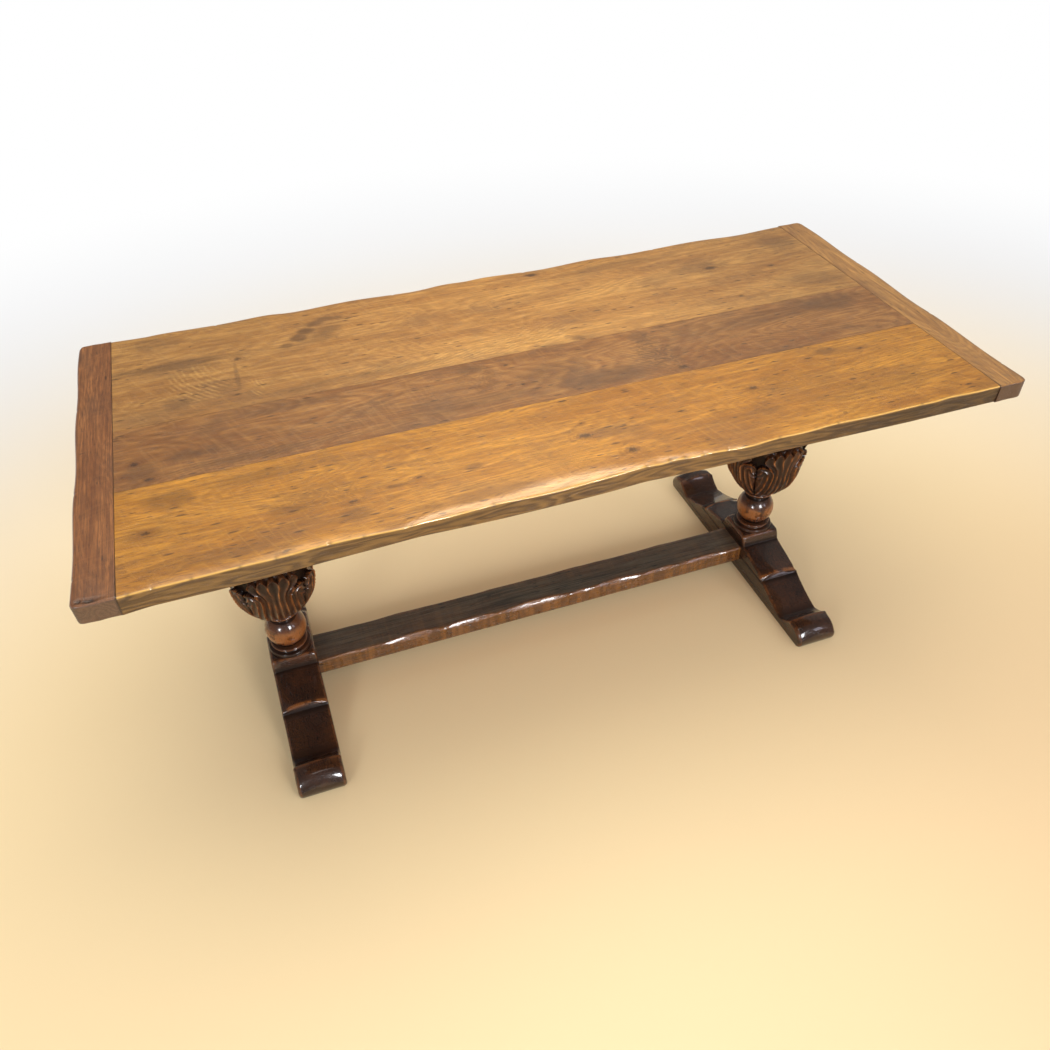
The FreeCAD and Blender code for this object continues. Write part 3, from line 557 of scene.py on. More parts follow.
boardHalf = 0.845
boardOuter = 0.417
frontSeam = -0.145
backSeam = 0.05
seamGap = 0.00015
edgeRows = (0.4, 1, 1.7, 2.4, 3.5, 5.5, 8, 11, 15, 20, 26, 34, 45, 62, 85, 115)
depthRows = (0.4, 1, 1.7, 2.4, 4, 7, 12, 20, 28, 34, 36.5, 38, 39, 39.6)
seamRows = (0.5, 1.2, 4)
endRows = (0.6, 1.6, 4)


# How far the worn top lies under the CAD face: under half a millimetre, and not at all underneath
def dishedTop(along, across, below):
    waves = np.sin(along * 11 + 0.7) * np.cos(across * 13 + 0.4) + 0.6 * np.sin(along * 23 + across * 17)
    return np.where(below < 0.02, 0.00022 * (1 - waves / 1.6), 0)


# Grime in the joint between boards and cleat, which opens towards the front edge
def jointGrime(gap, across):
    opening = np.clip((-across - 0.33) / 0.08, 0, 1)
    return np.exp(-(gap / (0.0008 + 0.0008 * opening)) ** 2) * (0.6 + 0.35 * opening)


# A long board. Outer is -1 or 1 for the hewn side, or 0 for a board between two seams
def makeBoard(name, low, high, outer, look):
    piece = blockBetween(name, (-boardHalf, low, topHeight - topThick), (boardHalf, high, topHeight))
    faces = ((-1, low), (1, high))
    places = {face - side * row * mm for side, face in faces for row in (edgeRows if side == outer else seamRows)}
    slicePiece(piece, 1, sorted(places))
    slicePiece(piece, 2, [topHeight - row * mm for row in depthRows])
    splitAlong(piece, 0, (20, 28) if outer else (10, 10))
    slicePiece(piece, 0, [side * (boardHalf - row * mm) for side in (-1, 1) for row in endRows])
    along, across, up = readAll(piece.data.vertices, "co").T
    below = topHeight - up
    edge = dirt = np.zeros(len(along))
    for side, face in faces:
        inward = side * (face - across)
        if side == outer:
            inward, below, edge, dirt = planeEdge(along, inward, below, boardEdges[side])
            across = face - side * inward
        else:
            inward, below = roundCorner(inward + seamGap, below, 0.5 * mm)
            across = np.where(inward < 0.01, face - side * inward, across)
    ends, below = roundCorner(boardHalf - np.abs(along) + seamGap, below, 0.8 * mm)
    along = np.sign(along) * (boardHalf - ends)
    writePoints(piece, along, across, topHeight - below - dishedTop(along, across, below))
    grime = jointGrime(boardHalf - np.abs(along), across)
    for side, face in faces:
        if side != outer:
            patchy = 0.3 + 0.25 * np.sin(along * 9 + face * 40) * np.sin(along * 31)
            grime = np.maximum(grime, np.exp(-((face - across) / 0.0008) ** 2) * patchy)
    writeValues(piece, edge=edge, grime=np.maximum(grime, dirt), side=sidesOf(piece))
    finishPiece(piece, makeTopOak(name + "Oak", look), ["top_board_" + look["node"]])


# Looks of the boards. Each mark starts with its place and its reach: x, y, wide and deep. A burr or a smudge
# goes on with its share, and a fan with the centre of its lines, their count and its share.
# In each look, the brightness share at the middle of the boards and the share at their ends are painted light and
# shade.
frontLook = {
    "node": "front", "slot": "front_board_oak", "seed": 1.3, "spacing": 0.0034, "wander": 0.05, "figure": 0.42,
    "dark": (0.425, 0.161, 0.016), "pale": (0.755, 0.332, 0.035), "line": (0.319, 0.117, 0.014), "lineShare": 0.5,
    "figureColour": (0.342, 0.122, 0.014), "smudge": (0.236, 0.094, 0.016), "stainShare": 0.42,
    "fleck": (0.779, 0.376, 0.048), "fleckShare": 0.14, "fleckSlant": 0.4,
    "halo": (0.283, 0.1, 0.012), "mark": (0.05, 0.02, 0.008), "edge": (0.74, 0.41, 0.09),
    "flank": (0.265, 0.138, 0.038), "flankLine": (0.085, 0.04, 0.014),
    "poreShare": 0.5, "rough": 0.33, "coat": 0.14, "litMiddle": 0.95, "shadedEnds": 0.83,
    "dashes": (((38, 160, 160), 0.11, 0.4), ((24, 90, 90), 0.1, 0.26), ((44, 60, 60), 0.05, 0.15)),
    "burrs": ((-500, -285, 100, 35, 0.45), (430, -260, 90, 50, 0.4)),
    "smudges": (
        (-750, -200, 50, 30, 0.6), (-600, -185, 110, 20, 0.5), (-796, -279, 50, 20, 0.6),
        (-561, -302, 40, 16, 0.6), (-454, -354, 35, 20, 0.65), (-223, -297, 20, 12, 0.7),
        (-371, -301, 22, 6, 0.7), (45, -283, 45, 20, 0.5), (595, -176, 30, 14, 0.7),
        (-250, -380, 160, 20, 0.45), (620, -330, 180, 30, 0.4), (330, -330, 90, 14, 0.4),
        (-700, -375, 140, 20, 0.45),
    ),
    "knots": (
        (1, -280, 17, 9), (65, -351, 12, 10), (-450, -317, 10, 4), (-796, -279, 11, 5), (-326, -292, 9, 4),
        (205, -271, 11, 3), (378, -248, 12, 6), (9, -240, 4, 3), (670, -193, 9, 4),
    ),
}
middleLook = {
    "node": "middle", "slot": "middle_board_oak", "seed": 4.9, "spacing": 0.0032, "wander": 0.04, "figure": 0.5,
    "dark": (0.32, 0.131, 0.032), "pale": (0.538, 0.25, 0.065), "line": (0.218, 0.08, 0.022), "lineShare": 0.5,
    "figureColour": (0.218, 0.073, 0.019), "smudge": (0.154, 0.068, 0.025), "stainShare": 0.45,
    "fleck": (0.589, 0.288, 0.081), "fleckShare": 0.16, "fleckSlant": 0.4,
    "halo": (0.192, 0.069, 0.019), "mark": (0.045, 0.02, 0.011), "edge": (0.3, 0.15, 0.06),
    "flank": (0.2, 0.1, 0.04), "flankLine": (0.1, 0.05, 0.025),
    "poreShare": 0.4, "rough": 0.34, "coat": 0.12, "litMiddle": 0.89, "shadedEnds": 0.79,
    "dashes": (((38, 160, 160), 0.07, 0.4), ((24, 90, 90), 0.05, 0.24)),
    "fans": (
        (220, -60, 70, 90, 500, 300, 100, 0.4), (275, -50, 18, 110, -500, 350, 45, 0.55),
        (-550, -120, 300, 25, -200, -2000, 120, 0.4),
    ),
    "burrs": ((260, -60, 55, 100, 0.7), (-120, -20, 50, 60, 0.35)),
    "smudges": (
        (-800, -100, 35, 35, 0.5), (-721, -76, 40, 22, 0.6), (-140, 20, 40, 20, 0.6),
        (130, -105, 140, 35, 0.7), (20, -50, 100, 50, 0.4), (-150, -100, 160, 25, 0.4),
        (250, 20, 30, 25, 0.5), (-520, 20, 140, 18, 0.5), (550, 0, 300, 35, 0.35), (-600, -120, 160, 16, 0.5),
        (720, 10, 100, 40, 0.5),
    ),
    "knots": ((-809, -72, 8, 7), (-50, -70, 5, 4), (-785, -128, 10, 5), (286, -126, 14, 7), (-60, 12, 5, 4)),
}
backLook = {
    "node": "back", "slot": "back_board_oak", "seed": 8.2, "spacing": 0.0034, "wander": 0.05, "figure": 0.35,
    "dark": (0.396, 0.174, 0.04), "pale": (0.648, 0.33, 0.083), "line": (0.3, 0.126, 0.031), "lineShare": 0.45,
    "figureColour": (0.288, 0.114, 0.027), "smudge": (0.204, 0.094, 0.03), "stainShare": 0.42,
    "fleck": (0.72, 0.396, 0.104), "fleckShare": 0.12, "fleckSlant": 0.5,
    "halo": (0.228, 0.094, 0.024), "mark": (0.05, 0.022, 0.01), "edge": (0.62, 0.35, 0.13),
    "flank": (0.25, 0.135, 0.044), "flankLine": (0.085, 0.042, 0.016),
    "poreShare": 0.38, "rough": 0.34, "coat": 0.12, "litMiddle": 1.08, "shadedEnds": 0.81,
    "dashes": (((38, 160, 160), 0.09, 0.4), ((24, 90, 90), 0.08, 0.25), ((44, 60, 60), 0.04, 0.14)),
    "fans": (
        (-680, 170, 75, 85, -530, 270, 92, 0.5), (-560, 115, 20, 40, -450, 150, 120, 0.5),
        (-120, 85, 260, 30, 350, -1300, 120, 0.5), (60, 110, 100, 50, 350, -350, 100, 0.28),
    ),
    "burrs": ((560, 260, 50, 40, 0.45), (790, 300, 50, 80, 0.4)),
    "smudges": (
        (-720, 262, 150, 20, 0.75), (-480, 259, 17, 13.6, 0.7), (-451, 283, 22.1, 17, 0.95),
        (-432, 309, 22.1, 17, 0.95), (-410, 334, 23.8, 15.3, 0.95), (-384, 349, 23.8, 13.6, 0.85),
        (-357, 348, 23.8, 10.2, 0.6), (-402, 273, 37.4, 23.8, 0.6), (-381, 294, 27.2, 20.4, 0.4),
        (-400, 303, 60, 22, 0.35), (-722, 109, 35, 25, 0.6), (-597, 170, 7, 75, 0.5), (125, 64, 20, 12, 0.7),
        (530, 270, 80, 30, 0.5), (790, 330, 60, 50, 0.55), (-330, 80, 220, 18, 0.45),
        (330, 360, 200, 20, 0.45), (-760, 370, 70, 30, 0.4), (760, 130, 70, 50, 0.35),
    ),
    "knots": (
        (131, 385, 18, 8), (-589, 242, 7, 6), (-604, 100, 8, 3), (703, 219, 10, 5), (555, 105, 7, 4),
        (556, 261, 16, 8),
    ),
}
makeBoard("BoardFront", -boardOuter, frontSeam, -1, frontLook)
makeBoard("BoardMiddle", frontSeam, backSeam, 0, middleLook)
makeBoard("BoardBack", backSeam, boardOuter, 1, backLook)


# Cleats: grain across the table, ends a little proud, corners rounded

cleatEdge = {
    "steps": ((-420, 0, 2, 2, 16), (-300, 3, 2.5, 3, 18), (-160, 0.5, 1.5, 1, 14), (-50, 3, 3, 3, 20),
              (90, 0, 1.5, 0, 14), (210, 2, 2.5, 2.5, 18), (330, 0.5, 1.5, 1, 14), (420, 3, 2, 3, 16)),
    "nicks": ((-350, 0.7), (-120, 0.8), (160, 0.7)),
    "radius": 5, "fade": 50,
}
cleatOuter = 0.915
cleatHalf = 0.42
cleatSideRows = (0.6, 1.5, 2.5, 4, 5.5, 8, 11, 15, 20, 27, 36, 50, 66, 69)
cleatEndRows = (0.8, 2, 3.5, 5.5, 8, 11, 14.5, 19)
cleatGouges = ((-900, -407), (-888.5, -409.5), (-881.5, -411))
cleatLook = {
    "spacing": 0.003, "wander": 0.03, "figure": 0.35, "grainAcross": True,
    "dark": (0.237, 0.085, 0.026), "pale": (0.425, 0.171, 0.052), "line": (0.13, 0.046, 0.017), "lineShare": 0.8,
    "figureColour": (0.138, 0.047, 0.017), "smudge": (0.125, 0.053, 0.022), "stainShare": 0.4,
    "fleck": (0.475, 0.212, 0.067), "fleckShare": 0.08, "fleckSlant": 0.4,
    "halo": (0.15, 0.057, 0.019), "mark": (0.04, 0.019, 0.010), "edge": (0.24, 0.11, 0.045),
    "flank": (0.105, 0.055, 0.034), "flankLine": (0.04, 0.022, 0.015),
    "poreShare": 0.45, "rough": 0.34, "coat": 0.14, "litMiddle": 1, "shadedEnds": 1,
    "dashes": (((38, 160, 160), 0.08, 0.35), ((24, 90, 90), 0.05, 0.2)),
}
leftCleatLook = {"seed": 12.4, "knots": [(*gouge, 6, 5) for gouge in cleatGouges]}
rightCleatLook = {
    "seed": 17.9, "dark": (0.37, 0.17, 0.042), "pale": (0.60, 0.31, 0.082), "line": (0.26, 0.11, 0.03),
    "figureColour": (0.19, 0.075, 0.025), "smudge": (0.15, 0.068, 0.028), "fleck": (0.52, 0.26, 0.09),
}


def makeCleat(name, node, side, ownLook):
    low, high = sorted((side * boardHalf, side * cleatOuter))
    piece = blockBetween(name, (low, -cleatHalf, topHeight - topThick), (high, cleatHalf, topHeight))
    slicePiece(piece, 0, [side * (cleatOuter - row * mm) for row in cleatSideRows])
    slicePiece(piece, 2, [topHeight - row * mm for row in depthRows])
    splitAlong(piece, 1, (18, 20))
    slicePiece(piece, 1, [end * (cleatHalf - row * mm) for end in (-1, 1) for row in cleatEndRows])
    along, across, up = readAll(piece.data.vertices, "co").T
    inward, below, wear, dirt = planeEdge(across, cleatOuter - side * along, topHeight - up, cleatEdge)
    ends, below = roundCorner(cleatHalf - np.abs(across), below, 4.5 * mm)
    ends, above = roundCorner(ends, topThick - below, 3 * mm)
    below = topThick - above
    inward, ends = roundCorner(inward, ends, 17 * mm)
    ends = ends + 0.0008 + 0.0006 * np.sin(inward * 160 + side)
    across = np.sign(across) * (cleatHalf - ends)
    gap = cleatOuter - np.maximum(inward, 0.0004) - boardHalf
    gap, below = roundCorner(gap + seamGap, below, 0.8 * mm)
    along = side * (boardHalf + gap)
    sunk = dishedTop(along, across, below)
    grime = jointGrime(gap, across) * (1 if side < 0 else 0.55)
    for x, y in np.array(cleatGouges) * mm:
        dent = np.exp(-(np.hypot(along - x, across - y) / 0.0046) ** 2) * (below < 0.02)
        sunk = sunk + 0.0032 * dent
        grime = np.maximum(grime, dent * 0.85)
    writePoints(piece, along, across, topHeight - below - sunk)
    writeValues(piece, edge=np.maximum(wear * 0.6, np.exp(-(ends / 0.004) ** 2) * 0.3),
                grime=np.maximum(grime, dirt), side=sidesOf(piece))
    finishPiece(piece, makeTopOak(name + "Oak", {**cleatLook, **ownLook}), [node])


makeCleat("CleatLeft", "cleat_left", -1, leftCleatLook)
makeCleat("CleatRight", "cleat_right", 1, rightCleatLook)


# Dark polished oak for the base: near black, worn red and orange on what stands proud

darkPatina, given, out = newGroup(
    "DarkPatina", "Vector Place, Float Wear Hollow, Color Ground Red Bright Deep", "Color Colour, Float Rough Height")
grain = useGroup(oakGrain, Place=given["Place"], Seed=2.2, Spacing=0.003, Wander=0.02, Figure=0.2)
rub = noise(given["Place"], 32, 4, 0.6)
large = ramp(noise(given["Place"], 11, 3, 0.6), 0.4, 0.7)
wear = given["Wear"] * ramp(rub, 0.25, 0.5)
colour = mix(large * 0.55, given["Ground"], given["Red"])
colour = mix(grain["Lines"] * 0.45, colour, given["Deep"])
colour = mix(wear, colour, given["Red"])
colour = mix(ramp(wear, 0.35, 0.85), colour, given["Bright"])
colour = mix(given["Hollow"], colour, given["Deep"])
colour = mix(grain["Pores"] * 0.6, colour, given["Deep"])
setNode(out, Colour=colour, Rough=rub * 0.16 + given["Hollow"] * 0.25, Height=grain["Lines"] * 0.3 - grain["Pores"])


def makeDarkOak(name, look):
    material, surface = newMaterial(name)
    wear, hollow = [look.get(key) or attribute(surface, key) for key in ("wear", "hollow")]
    patina = useGroup(darkPatina, Place=objectPlace(surface, look["turn"]), Wear=wear, Hollow=hollow,
                      Ground=look["ground"], Red=look["red"], Bright=look["bright"], Deep=look["deep"])
    bare = 1 - hollow
    setNode(surface, Base_Color=patina["Colour"], Roughness=patina["Rough"] + look["rough"], IOR=1.42,
            Specular_IOR_Level=bare * 0.3, Coat_Weight=(bare * 0.8 + 0.2) * look["coat"],
            Coat_Roughness=look["coatRough"], Normal=bump(patina["Height"], 0.0004, 0.5))
    return material


pedestalLook = {
    "turn": (0, math.pi / 2, 0), "ground": (0.036, 0.014, 0.008), "red": (0.22, 0.068, 0.016),
    "bright": (0.36, 0.125, 0.03), "deep": (0.007, 0.004, 0.003), "rough": 0.2, "coat": 0.6, "coatRough": 0.05,
}
footLook = {
    "turn": (0, 0, math.pi / 2), "ground": (0.026, 0.013, 0.009), "red": (0.10, 0.034, 0.012),
    "bright": (0.26, 0.09, 0.024), "deep": (0.007, 0.004, 0.003), "rough": 0.16, "coat": 0.75, "coatRough": 0.06,
}
bearerLook = {**footLook, "wear": 0.15, "hollow": 0.1, "rough": 0.35, "coat": 0.2}
pedestalOak = makeDarkOak("PedestalOak", pedestalLook)
footOak = makeDarkOak("FootOak", footLook)


# Turned profiles: (radius, height) above the floor

# Adds curves to a profile. Each has its end, how far it swells outward at its middle, and its count of points.
def addCurves(points, *curves):
    for endRadius, endHeight, swell, count in curves:
        radius, height = points[-1]
        run = (endRadius - radius, endHeight - height)
        length = math.hypot(*run)
        for number in range(1, count + 1):
            share = number / count
            bulge = swell * 4 * share * (1 - share) / length
            points.append((radius + run[0] * share + run[1] * bulge, height + run[1] * share - run[0] * bulge))
    return points


# A closed turned piece: a cylinder divided in height, with a radius and a height for each ring
def turnPiece(name, profile, steps):
    profile = list(profile)
    while len(profile) < 101:
        spans = [math.dist(first, second) for first, second in zip(profile[:-1], profile[1:])]
        number = spans.index(max(spans))
        first, second = profile[number:number + 2]
        profile.insert(number + 1, ((first[0] + second[0]) / 2, (first[1] + second[1]) / 2))
    passes = (10, 12) if len(profile) > 101 else (10, 10)
    rows = passes[0] * passes[1]
    profile += [profile[-1]] * (rows + 1 - len(profile))
    clearSelection()
    bpy.ops.mesh.primitive_cylinder_add(vertices=steps, radius=1, depth=rows, location=(0, 0, rows / 2))
    piece = settle(bpy.context.object, name)
    splitAlong(piece, 2, passes)
    x, y, z = readAll(piece.data.vertices, "co").T
    row = np.rint(z).astype(int)
    radii, heights = np.array(profile).T * mm
    return piece, row, np.arctan2(y, x), radii[row], heights[row]


def placeRings(piece, turn, radius, height, centre):
    writePoints(piece, centre + radius * np.cos(turn), radius * np.sin(turn), height)


ball = {"radius": 48, "height": 180.7, "turn": 109, "points": 43, "polished": 26}
capital = {"halfWide": 0.048, "low": 0.598, "high": 0.6749, "bevel": 0.005, "bevelSteps": 4}
turnSteps = 128
baseProfile = addCurves(
    [(46, 120.1), (49.2, 120.1)], (49.2, 127, 1, 8), (47, 129.2, 0.6, 4), (40.5, 130, 0, 3),
    (39.6, 134, -1.1, 6), (39.6, 140.6, 3.6, 12), (29.5, 142.3, -0.5, 5))
for number in range(1, ball["points"] + 1):
    angle = math.radians(ball["turn"] * (number / ball["points"] - 0.5))
    baseProfile.append((ball["radius"] * math.cos(angle), ball["height"] + ball["radius"] * math.sin(angle)))
addCurves(baseProfile, (26.4, 225, -0.6, 4), (29, 230.5, -1.5, 6), (34, 232.2, 0.3, 4), (34.5, 241, 4.6, 14),
          (28, 241.6, 0, 3))
upperProfile = addCurves(
    [(60, 416.6), (80.5, 417)], (80.5, 425.5, 2.8, 8), (77.5, 427.5, -0.5, 3), (76.8, 461, 4.5, 12),
    (62, 494, 3.5, 12), (44, 517, -3, 10), (42, 521.5, 0, 2), (42, 537, 9.5, 14), (36.2, 555, -2, 8),
    (41.5, 588, -2.5, 12), (47.5, 598, 0.5, 6), (30, 599, 0, 2))


# The carved cup: heights and half widths over its turned ground

cup = {
    "base": 241.4,
    "height": 177,
    "rows": 120,
    "steps": 512,
    "ground": ((0, 32), (5, 41), (11.4, 49.5), (20, 59), (28.4, 66), (40, 73.5), (51.1, 79), (65, 84), (89.5, 88.5),
               (120, 90.5), (165, 90), (177, 87)),
    "lowLeaf": ((0, 8), (21, 17), (42, 26), (63, 33), (84, 38), (104, 41), (117, 41), (125, 38), (131, 31),
                (135, 22), (136, 14), (134, 7), (129, 2.5), (122, 0)),
    "lowWide": ((0, 8), (21, 17), (42, 26), (63, 33), (84, 38), (104, 41), (117, 40), (130, 33), (140, 22),
                (149, 16), (177, 16)),
    "lowProud": ((0, 1), (30, 3), (65, 5.5), (95, 7), (118, 8), (137, 8.5)),
    "tallProud": ((0, 0.5), (40, 1.5), (90, 2.5), (125, 3.5), (150, 5.4), (165, 8), (173, 10), (177, 9)),
    "lowFlute": 12.5,
    "tallFlutes": 5,
}


# The distance from each (first, second) to an open path, and whether it is between the path and the axis
def distanceTo(path, first, second):
    nearest = np.full(len(first), 1e9)
    inside = np.zeros(len(first), dtype=bool)
    for start, end in zip(path[:-1], path[1:]):
        run = end - start
        share = ((first - start[0]) * run[0] + (second - start[1]) * run[1]) / max(run @ run, 1e-9)
        share = np.clip(share, 0, 1)
        gap = np.hypot(first - start[0] - share * run[0], second - start[1] - share * run[1])
        nearest = np.minimum(nearest, gap)
    closed = np.vstack((path, [path[-1][0], -1e-3], [path[0][0], -1e-3], path[0]))
    for start, end in zip(closed[:-1], closed[1:]):
        spans = (start[0] > first) != (end[0] > first)
        slope = (end[1] - start[1]) / (end[0] - start[0] if end[0] != start[0] else 1e-9)
        inside ^= spans & (second < start[1] + (first - start[0]) * slope)
    return nearest, inside


# The carved radius, with its wear and its hollows
def carveCup(turn, up):
    ground = curveValues(up, cup["ground"], 12)
    quarter = math.pi / 2
    lowTurn = (turn + quarter / 2) % quarter
    lowTurn = np.where(lowTurn > quarter / 2, lowTurn - quarter, lowTurn)
    fromLow = np.abs(lowTurn) * ground
    gap, inLow = distanceTo(smoothed(cup["lowLeaf"], 6), up, fromLow)
    flute = (gap / cup["lowFlute"]) % 1
    arch = 4 * flute * (1 - flute)
    vein = np.exp(-(fromLow / (1.8 + 2.4 * np.clip(up / 122, 0, 1) ** 2)) ** 2)
    rim = np.exp(-(gap / 2.4) ** 2) * np.clip((up - 45) / 35, 0, 1)
    low = curveValues(up, cup["lowProud"], 12) - 4.2 * arch ** 0.8 * np.clip(up / 40, 0.3, 1)
    low = low - 0.05 * gap + 1.6 * rim - 5 * vein
    pitchHalf = quarter / 2 * ground
    tallHalf = pitchHalf - np.interp(up, *np.array(cup["lowWide"]).T)
    share = np.clip((pitchHalf - fromLow) / tallHalf, 0, 1.4)
    part = (np.where(lowTurn > 0, share, -share) + 1) / 2 * cup["tallFlutes"] % 1
    hollow = 4 * part * (1 - part)
    inTall = share < 1
    tip = 176 - 11 * (2 * part - 1) ** 2 - 9 * np.clip((share - 0.5) / 0.5, 0, 1)
    curl = np.exp(-((tip - up) / 4.5) ** 2)
    tall = (4 + 1.4 * np.clip((up - 115) / 50, 0, 1)) * hollow ** 0.8 * np.clip(up / 40, 0.25, 1)
    tall = curveValues(up, cup["tallProud"], 12) - tall + curl * (1.8 + 2.6 * hollow)
    tall = np.where(up > tip, np.maximum(-3, tall - (up - tip) * 4), tall)
    sideFall = np.clip((share - 1) * tallHalf / 1.6, 0, 1)
    outer = np.where(inTall, tall, tall - (3.2 + tall) * sideFall)
    nearLow = np.where(inLow, low, low + (outer - low) * np.clip(gap / 1.5, 0, 1))
    proud = np.where(inLow | (gap < 1.5), np.maximum(nearLow, np.where(inLow, -9, outer)), outer)
    crest = np.exp(-(np.minimum(part, 1 - part) * 2 * tallHalf / cup["tallFlutes"] / 2.6) ** 2)
    lowCrest = np.exp(-(np.minimum(flute, 1 - flute) * cup["lowFlute"] / 2.9) ** 2)
    wear = np.where(inLow, np.maximum(lowCrest * 0.85 * (1 - vein), rim), np.maximum(crest * 0.95, curl * 0.9))
    wear = np.where(inLow | inTall, wear, 0)
    streak = 0.55 + 0.45 * np.sin(turn * 37 + up * 0.05) * np.sin(turn * 13 + 1 + up * 0.11)
    wear = wear * np.where(inLow & (rim > 0.4), 1, streak)
    sunk = np.where(inLow, np.maximum(arch * 0.45 * (1 - rim), vein), np.maximum(hollow * 0.5, (~inTall) * 0.9))
    sunk = np.where((up > tip) & ~inLow, 0.7, sunk)
    return ground + proud, wear, sunk


def makePedestal(name, node, centre):
    base, row, turn, radius, height = turnPiece(name, baseProfile, turnSteps)
    placeRings(base, turn, radius, height, centre)
    ballWear = np.exp(-((height - ball["height"] * mm) / (ball["polished"] * mm)) ** 4)
    ringWear = np.exp(-((height - 0.2365) / 0.003) ** 2) + np.exp(-((height - 0.1375) / 0.002) ** 2)
    writeValues(base, wear=np.maximum(ballWear * 0.62, ringWear * 0.5) + 0.03,
                hollow=np.where(height < 0.134, 0.3, (radius < 0.032) * 0.8))
    ring = [(1, number) for number in range(cup["rows"] + 1)]
    carved, row, turn, radius, height = turnPiece(name + "Cup", ring, cup["steps"])
    up = row * cup["height"] / cup["rows"]
    reach, wear, sunk = carveCup(turn, up)
    placeRings(carved, turn, reach * mm, (cup["base"] + up) * mm, centre)
    writeValues(carved, wear=wear, hollow=sunk)
    upper, row, turn, radius, height = turnPiece(name + "Upper", upperProfile, turnSteps)
    placeRings(upper, turn, radius, height, centre)
    writeValues(upper, wear=np.clip((radius - 0.042) * 12, 0, 0.4) * (height > 0.43),
                hollow=np.clip((0.44 - height) / 0.02, 0, 0.8))
    half = capital["halfWide"]
    block = blockBetween(name + "Capital", (centre - half, -half, capital["low"]), (centre + half, half, capital["high"]))
    makeActive(block)
    bevel = block.modifiers.new("Corners", "BEVEL")
    bevel.width = capital["bevel"]
    bevel.segments = capital["bevelSteps"]
    bpy.ops.object.modifier_apply(modifier=bevel.name)
    writeValues(block, wear=0.2, hollow=0)
    makeActive(base)
    for part in (carved, upper, block):
        part.select_set(True)
    bpy.ops.object.join()
    finishPiece(base, pedestalOak, [node], 50)


pedestalPlace = 0.63
makePedestal("PedestalLeft", "pedestal_left", -pedestalPlace)
makePedestal("PedestalRight", "pedestal_right", pedestalPlace)


# Feet: curves of the outline from the block's middle outwards, each with its end, swell, count of points
# and arris radius, then the crown across, and the worn and the hollow places as (place, width, share)

foot = {
    "halfWide": 53.5,
    "outline": (
        (42, 120, 0, 12, 8), (51.2, 111.5, 2.6, 8, 8), (56.2, 93.5, 0, 10, 6), (59, 91.2, -0.6, 4, 6),
        (151, 73.4, -2.2, 40, 6.5), (156.5, 69.5, 1.7, 6, 3), (162, 61.5, 0, 5, 3), (164.5, 59.4, -0.4, 3, 3),
        (262, 21.4, -2, 40, 6), (300, 50.5, -3.6, 24, 5), (305.5, 52.8, 1, 5, 5), (355.5, 26, 11.5, 30, 9),
        (352.8, 0, 2.4, 12, 9),
    ),
    "crown": ((0, 0.5), (32, 1), (44, 2.5), (50, 4), (58, 1.5), (108, 2.5), (138, 6), (152, 12.5), (158, 9), (165, 1),
              (215, 2), (262, 1), (285, 3), (305, 7), (330, 10), (350, 9), (356, 5)),
    "worn": ((153, 6, 0.9), (302, 14, 0.55), (47, 7, 0.6), (262, 12, 0.25)),
    "hollow": ((166, 8, 0.7), (58, 6, 0.7), (262, 16, 0.4)),
    "bends": 7,
    "flat": 12,
}


# Evens out a row of values, apart from its ends
def evened(values, times):
    for turn in range(times):
        values[1:-1] = (values[:-2] + 2 * values[1:-1] + values[2:]) / 4
    return values


def mostOf(spots, reach, least):
    for centre, wide, share in spots:
        least = np.maximum(least, np.exp(-((reach - centre) / wide) ** 2) * share)
    return least


def makeFoot(name, node, middlePlace):
    points = [(0, 120)]
    arris = [8]
    for *end, swell, count, radius in foot["outline"]:
        addCurves(points, (*end, -swell, count))
        arris += [radius] * count
    points = np.array(points)
    path = np.vstack((points[::-1] * (-1, 1), points[1:]))
    arris = evened(np.array(arris[::-1] + arris[1:], dtype=float), 6)
    count = len(path)
    tangent = evened(np.gradient(path, axis=0), 2)
    tangent /= np.linalg.norm(tangent, axis=1)[:, None]
    inwardWay = np.column_stack((tangent[:, 1], -tangent[:, 0]))
    inwardWay[0] = (1, 0)
    inwardWay[-1] = (-1, 0)
    halfWide = foot["halfWide"]
    bends = foot["bends"]
    columns = bends * 2 + foot["flat"]
    clearSelection()
    bpy.ops.mesh.primitive_grid_add(x_subdivisions=columns, y_subdivisions=count - 1, size=2)
    piece = settle(bpy.context.object, name)
    shares = (readAll(piece.data.vertices, "co").T + 1) / 2
    column = np.rint(shares[0] * columns).astype(int)
    line = np.rint(shares[1] * (count - 1)).astype(int)
    radius = arris[line]
    fromEnd = np.minimum(column, columns - column)
    way = np.where(column > columns / 2, 1, -1)
    angle = np.clip(fromEnd / bends, 0, 1) * math.pi / 2
    bent = fromEnd < bends
    middle = (halfWide - radius) * (2 * (column - bends) / foot["flat"] - 1)
    sideways = np.where(bent, way * (halfWide - radius * (1 - np.cos(angle))), middle)
    sink = np.where(bent, radius * (1 - np.sin(angle)), 0)
    across, up = path[line].T + inwardWay[line].T * sink
    reach = np.abs(path[line, 0])
    up = up - curveValues(reach, foot["crown"], 6) * (sideways / halfWide) ** 2 * np.clip(up / 24, 0, 1)
    up = np.where((line == 0) | (line == count - 1), 0, up)
    writePoints(piece, middlePlace + sideways * mm, across * mm, np.maximum(up, 0) * mm)
    wear = mostOf(foot["worn"], reach, np.where((fromEnd > 0) & bent, 0.5, 0.12))
    writeValues(piece, wear=wear, hollow=mostOf(foot["hollow"], reach, 0) * (up < 100))
    for end in (0, columns):
        choose(piece, "VERT", column == end)
        bpy.ops.mesh.edge_face_add()
    bpy.ops.mesh.select_all(action="DESELECT")
    bpy.ops.mesh.select_non_manifold(extend=False)
    bpy.ops.mesh.edge_face_add()
    setMode("OBJECT")
    finishPiece(piece, footOak, [node], 40)


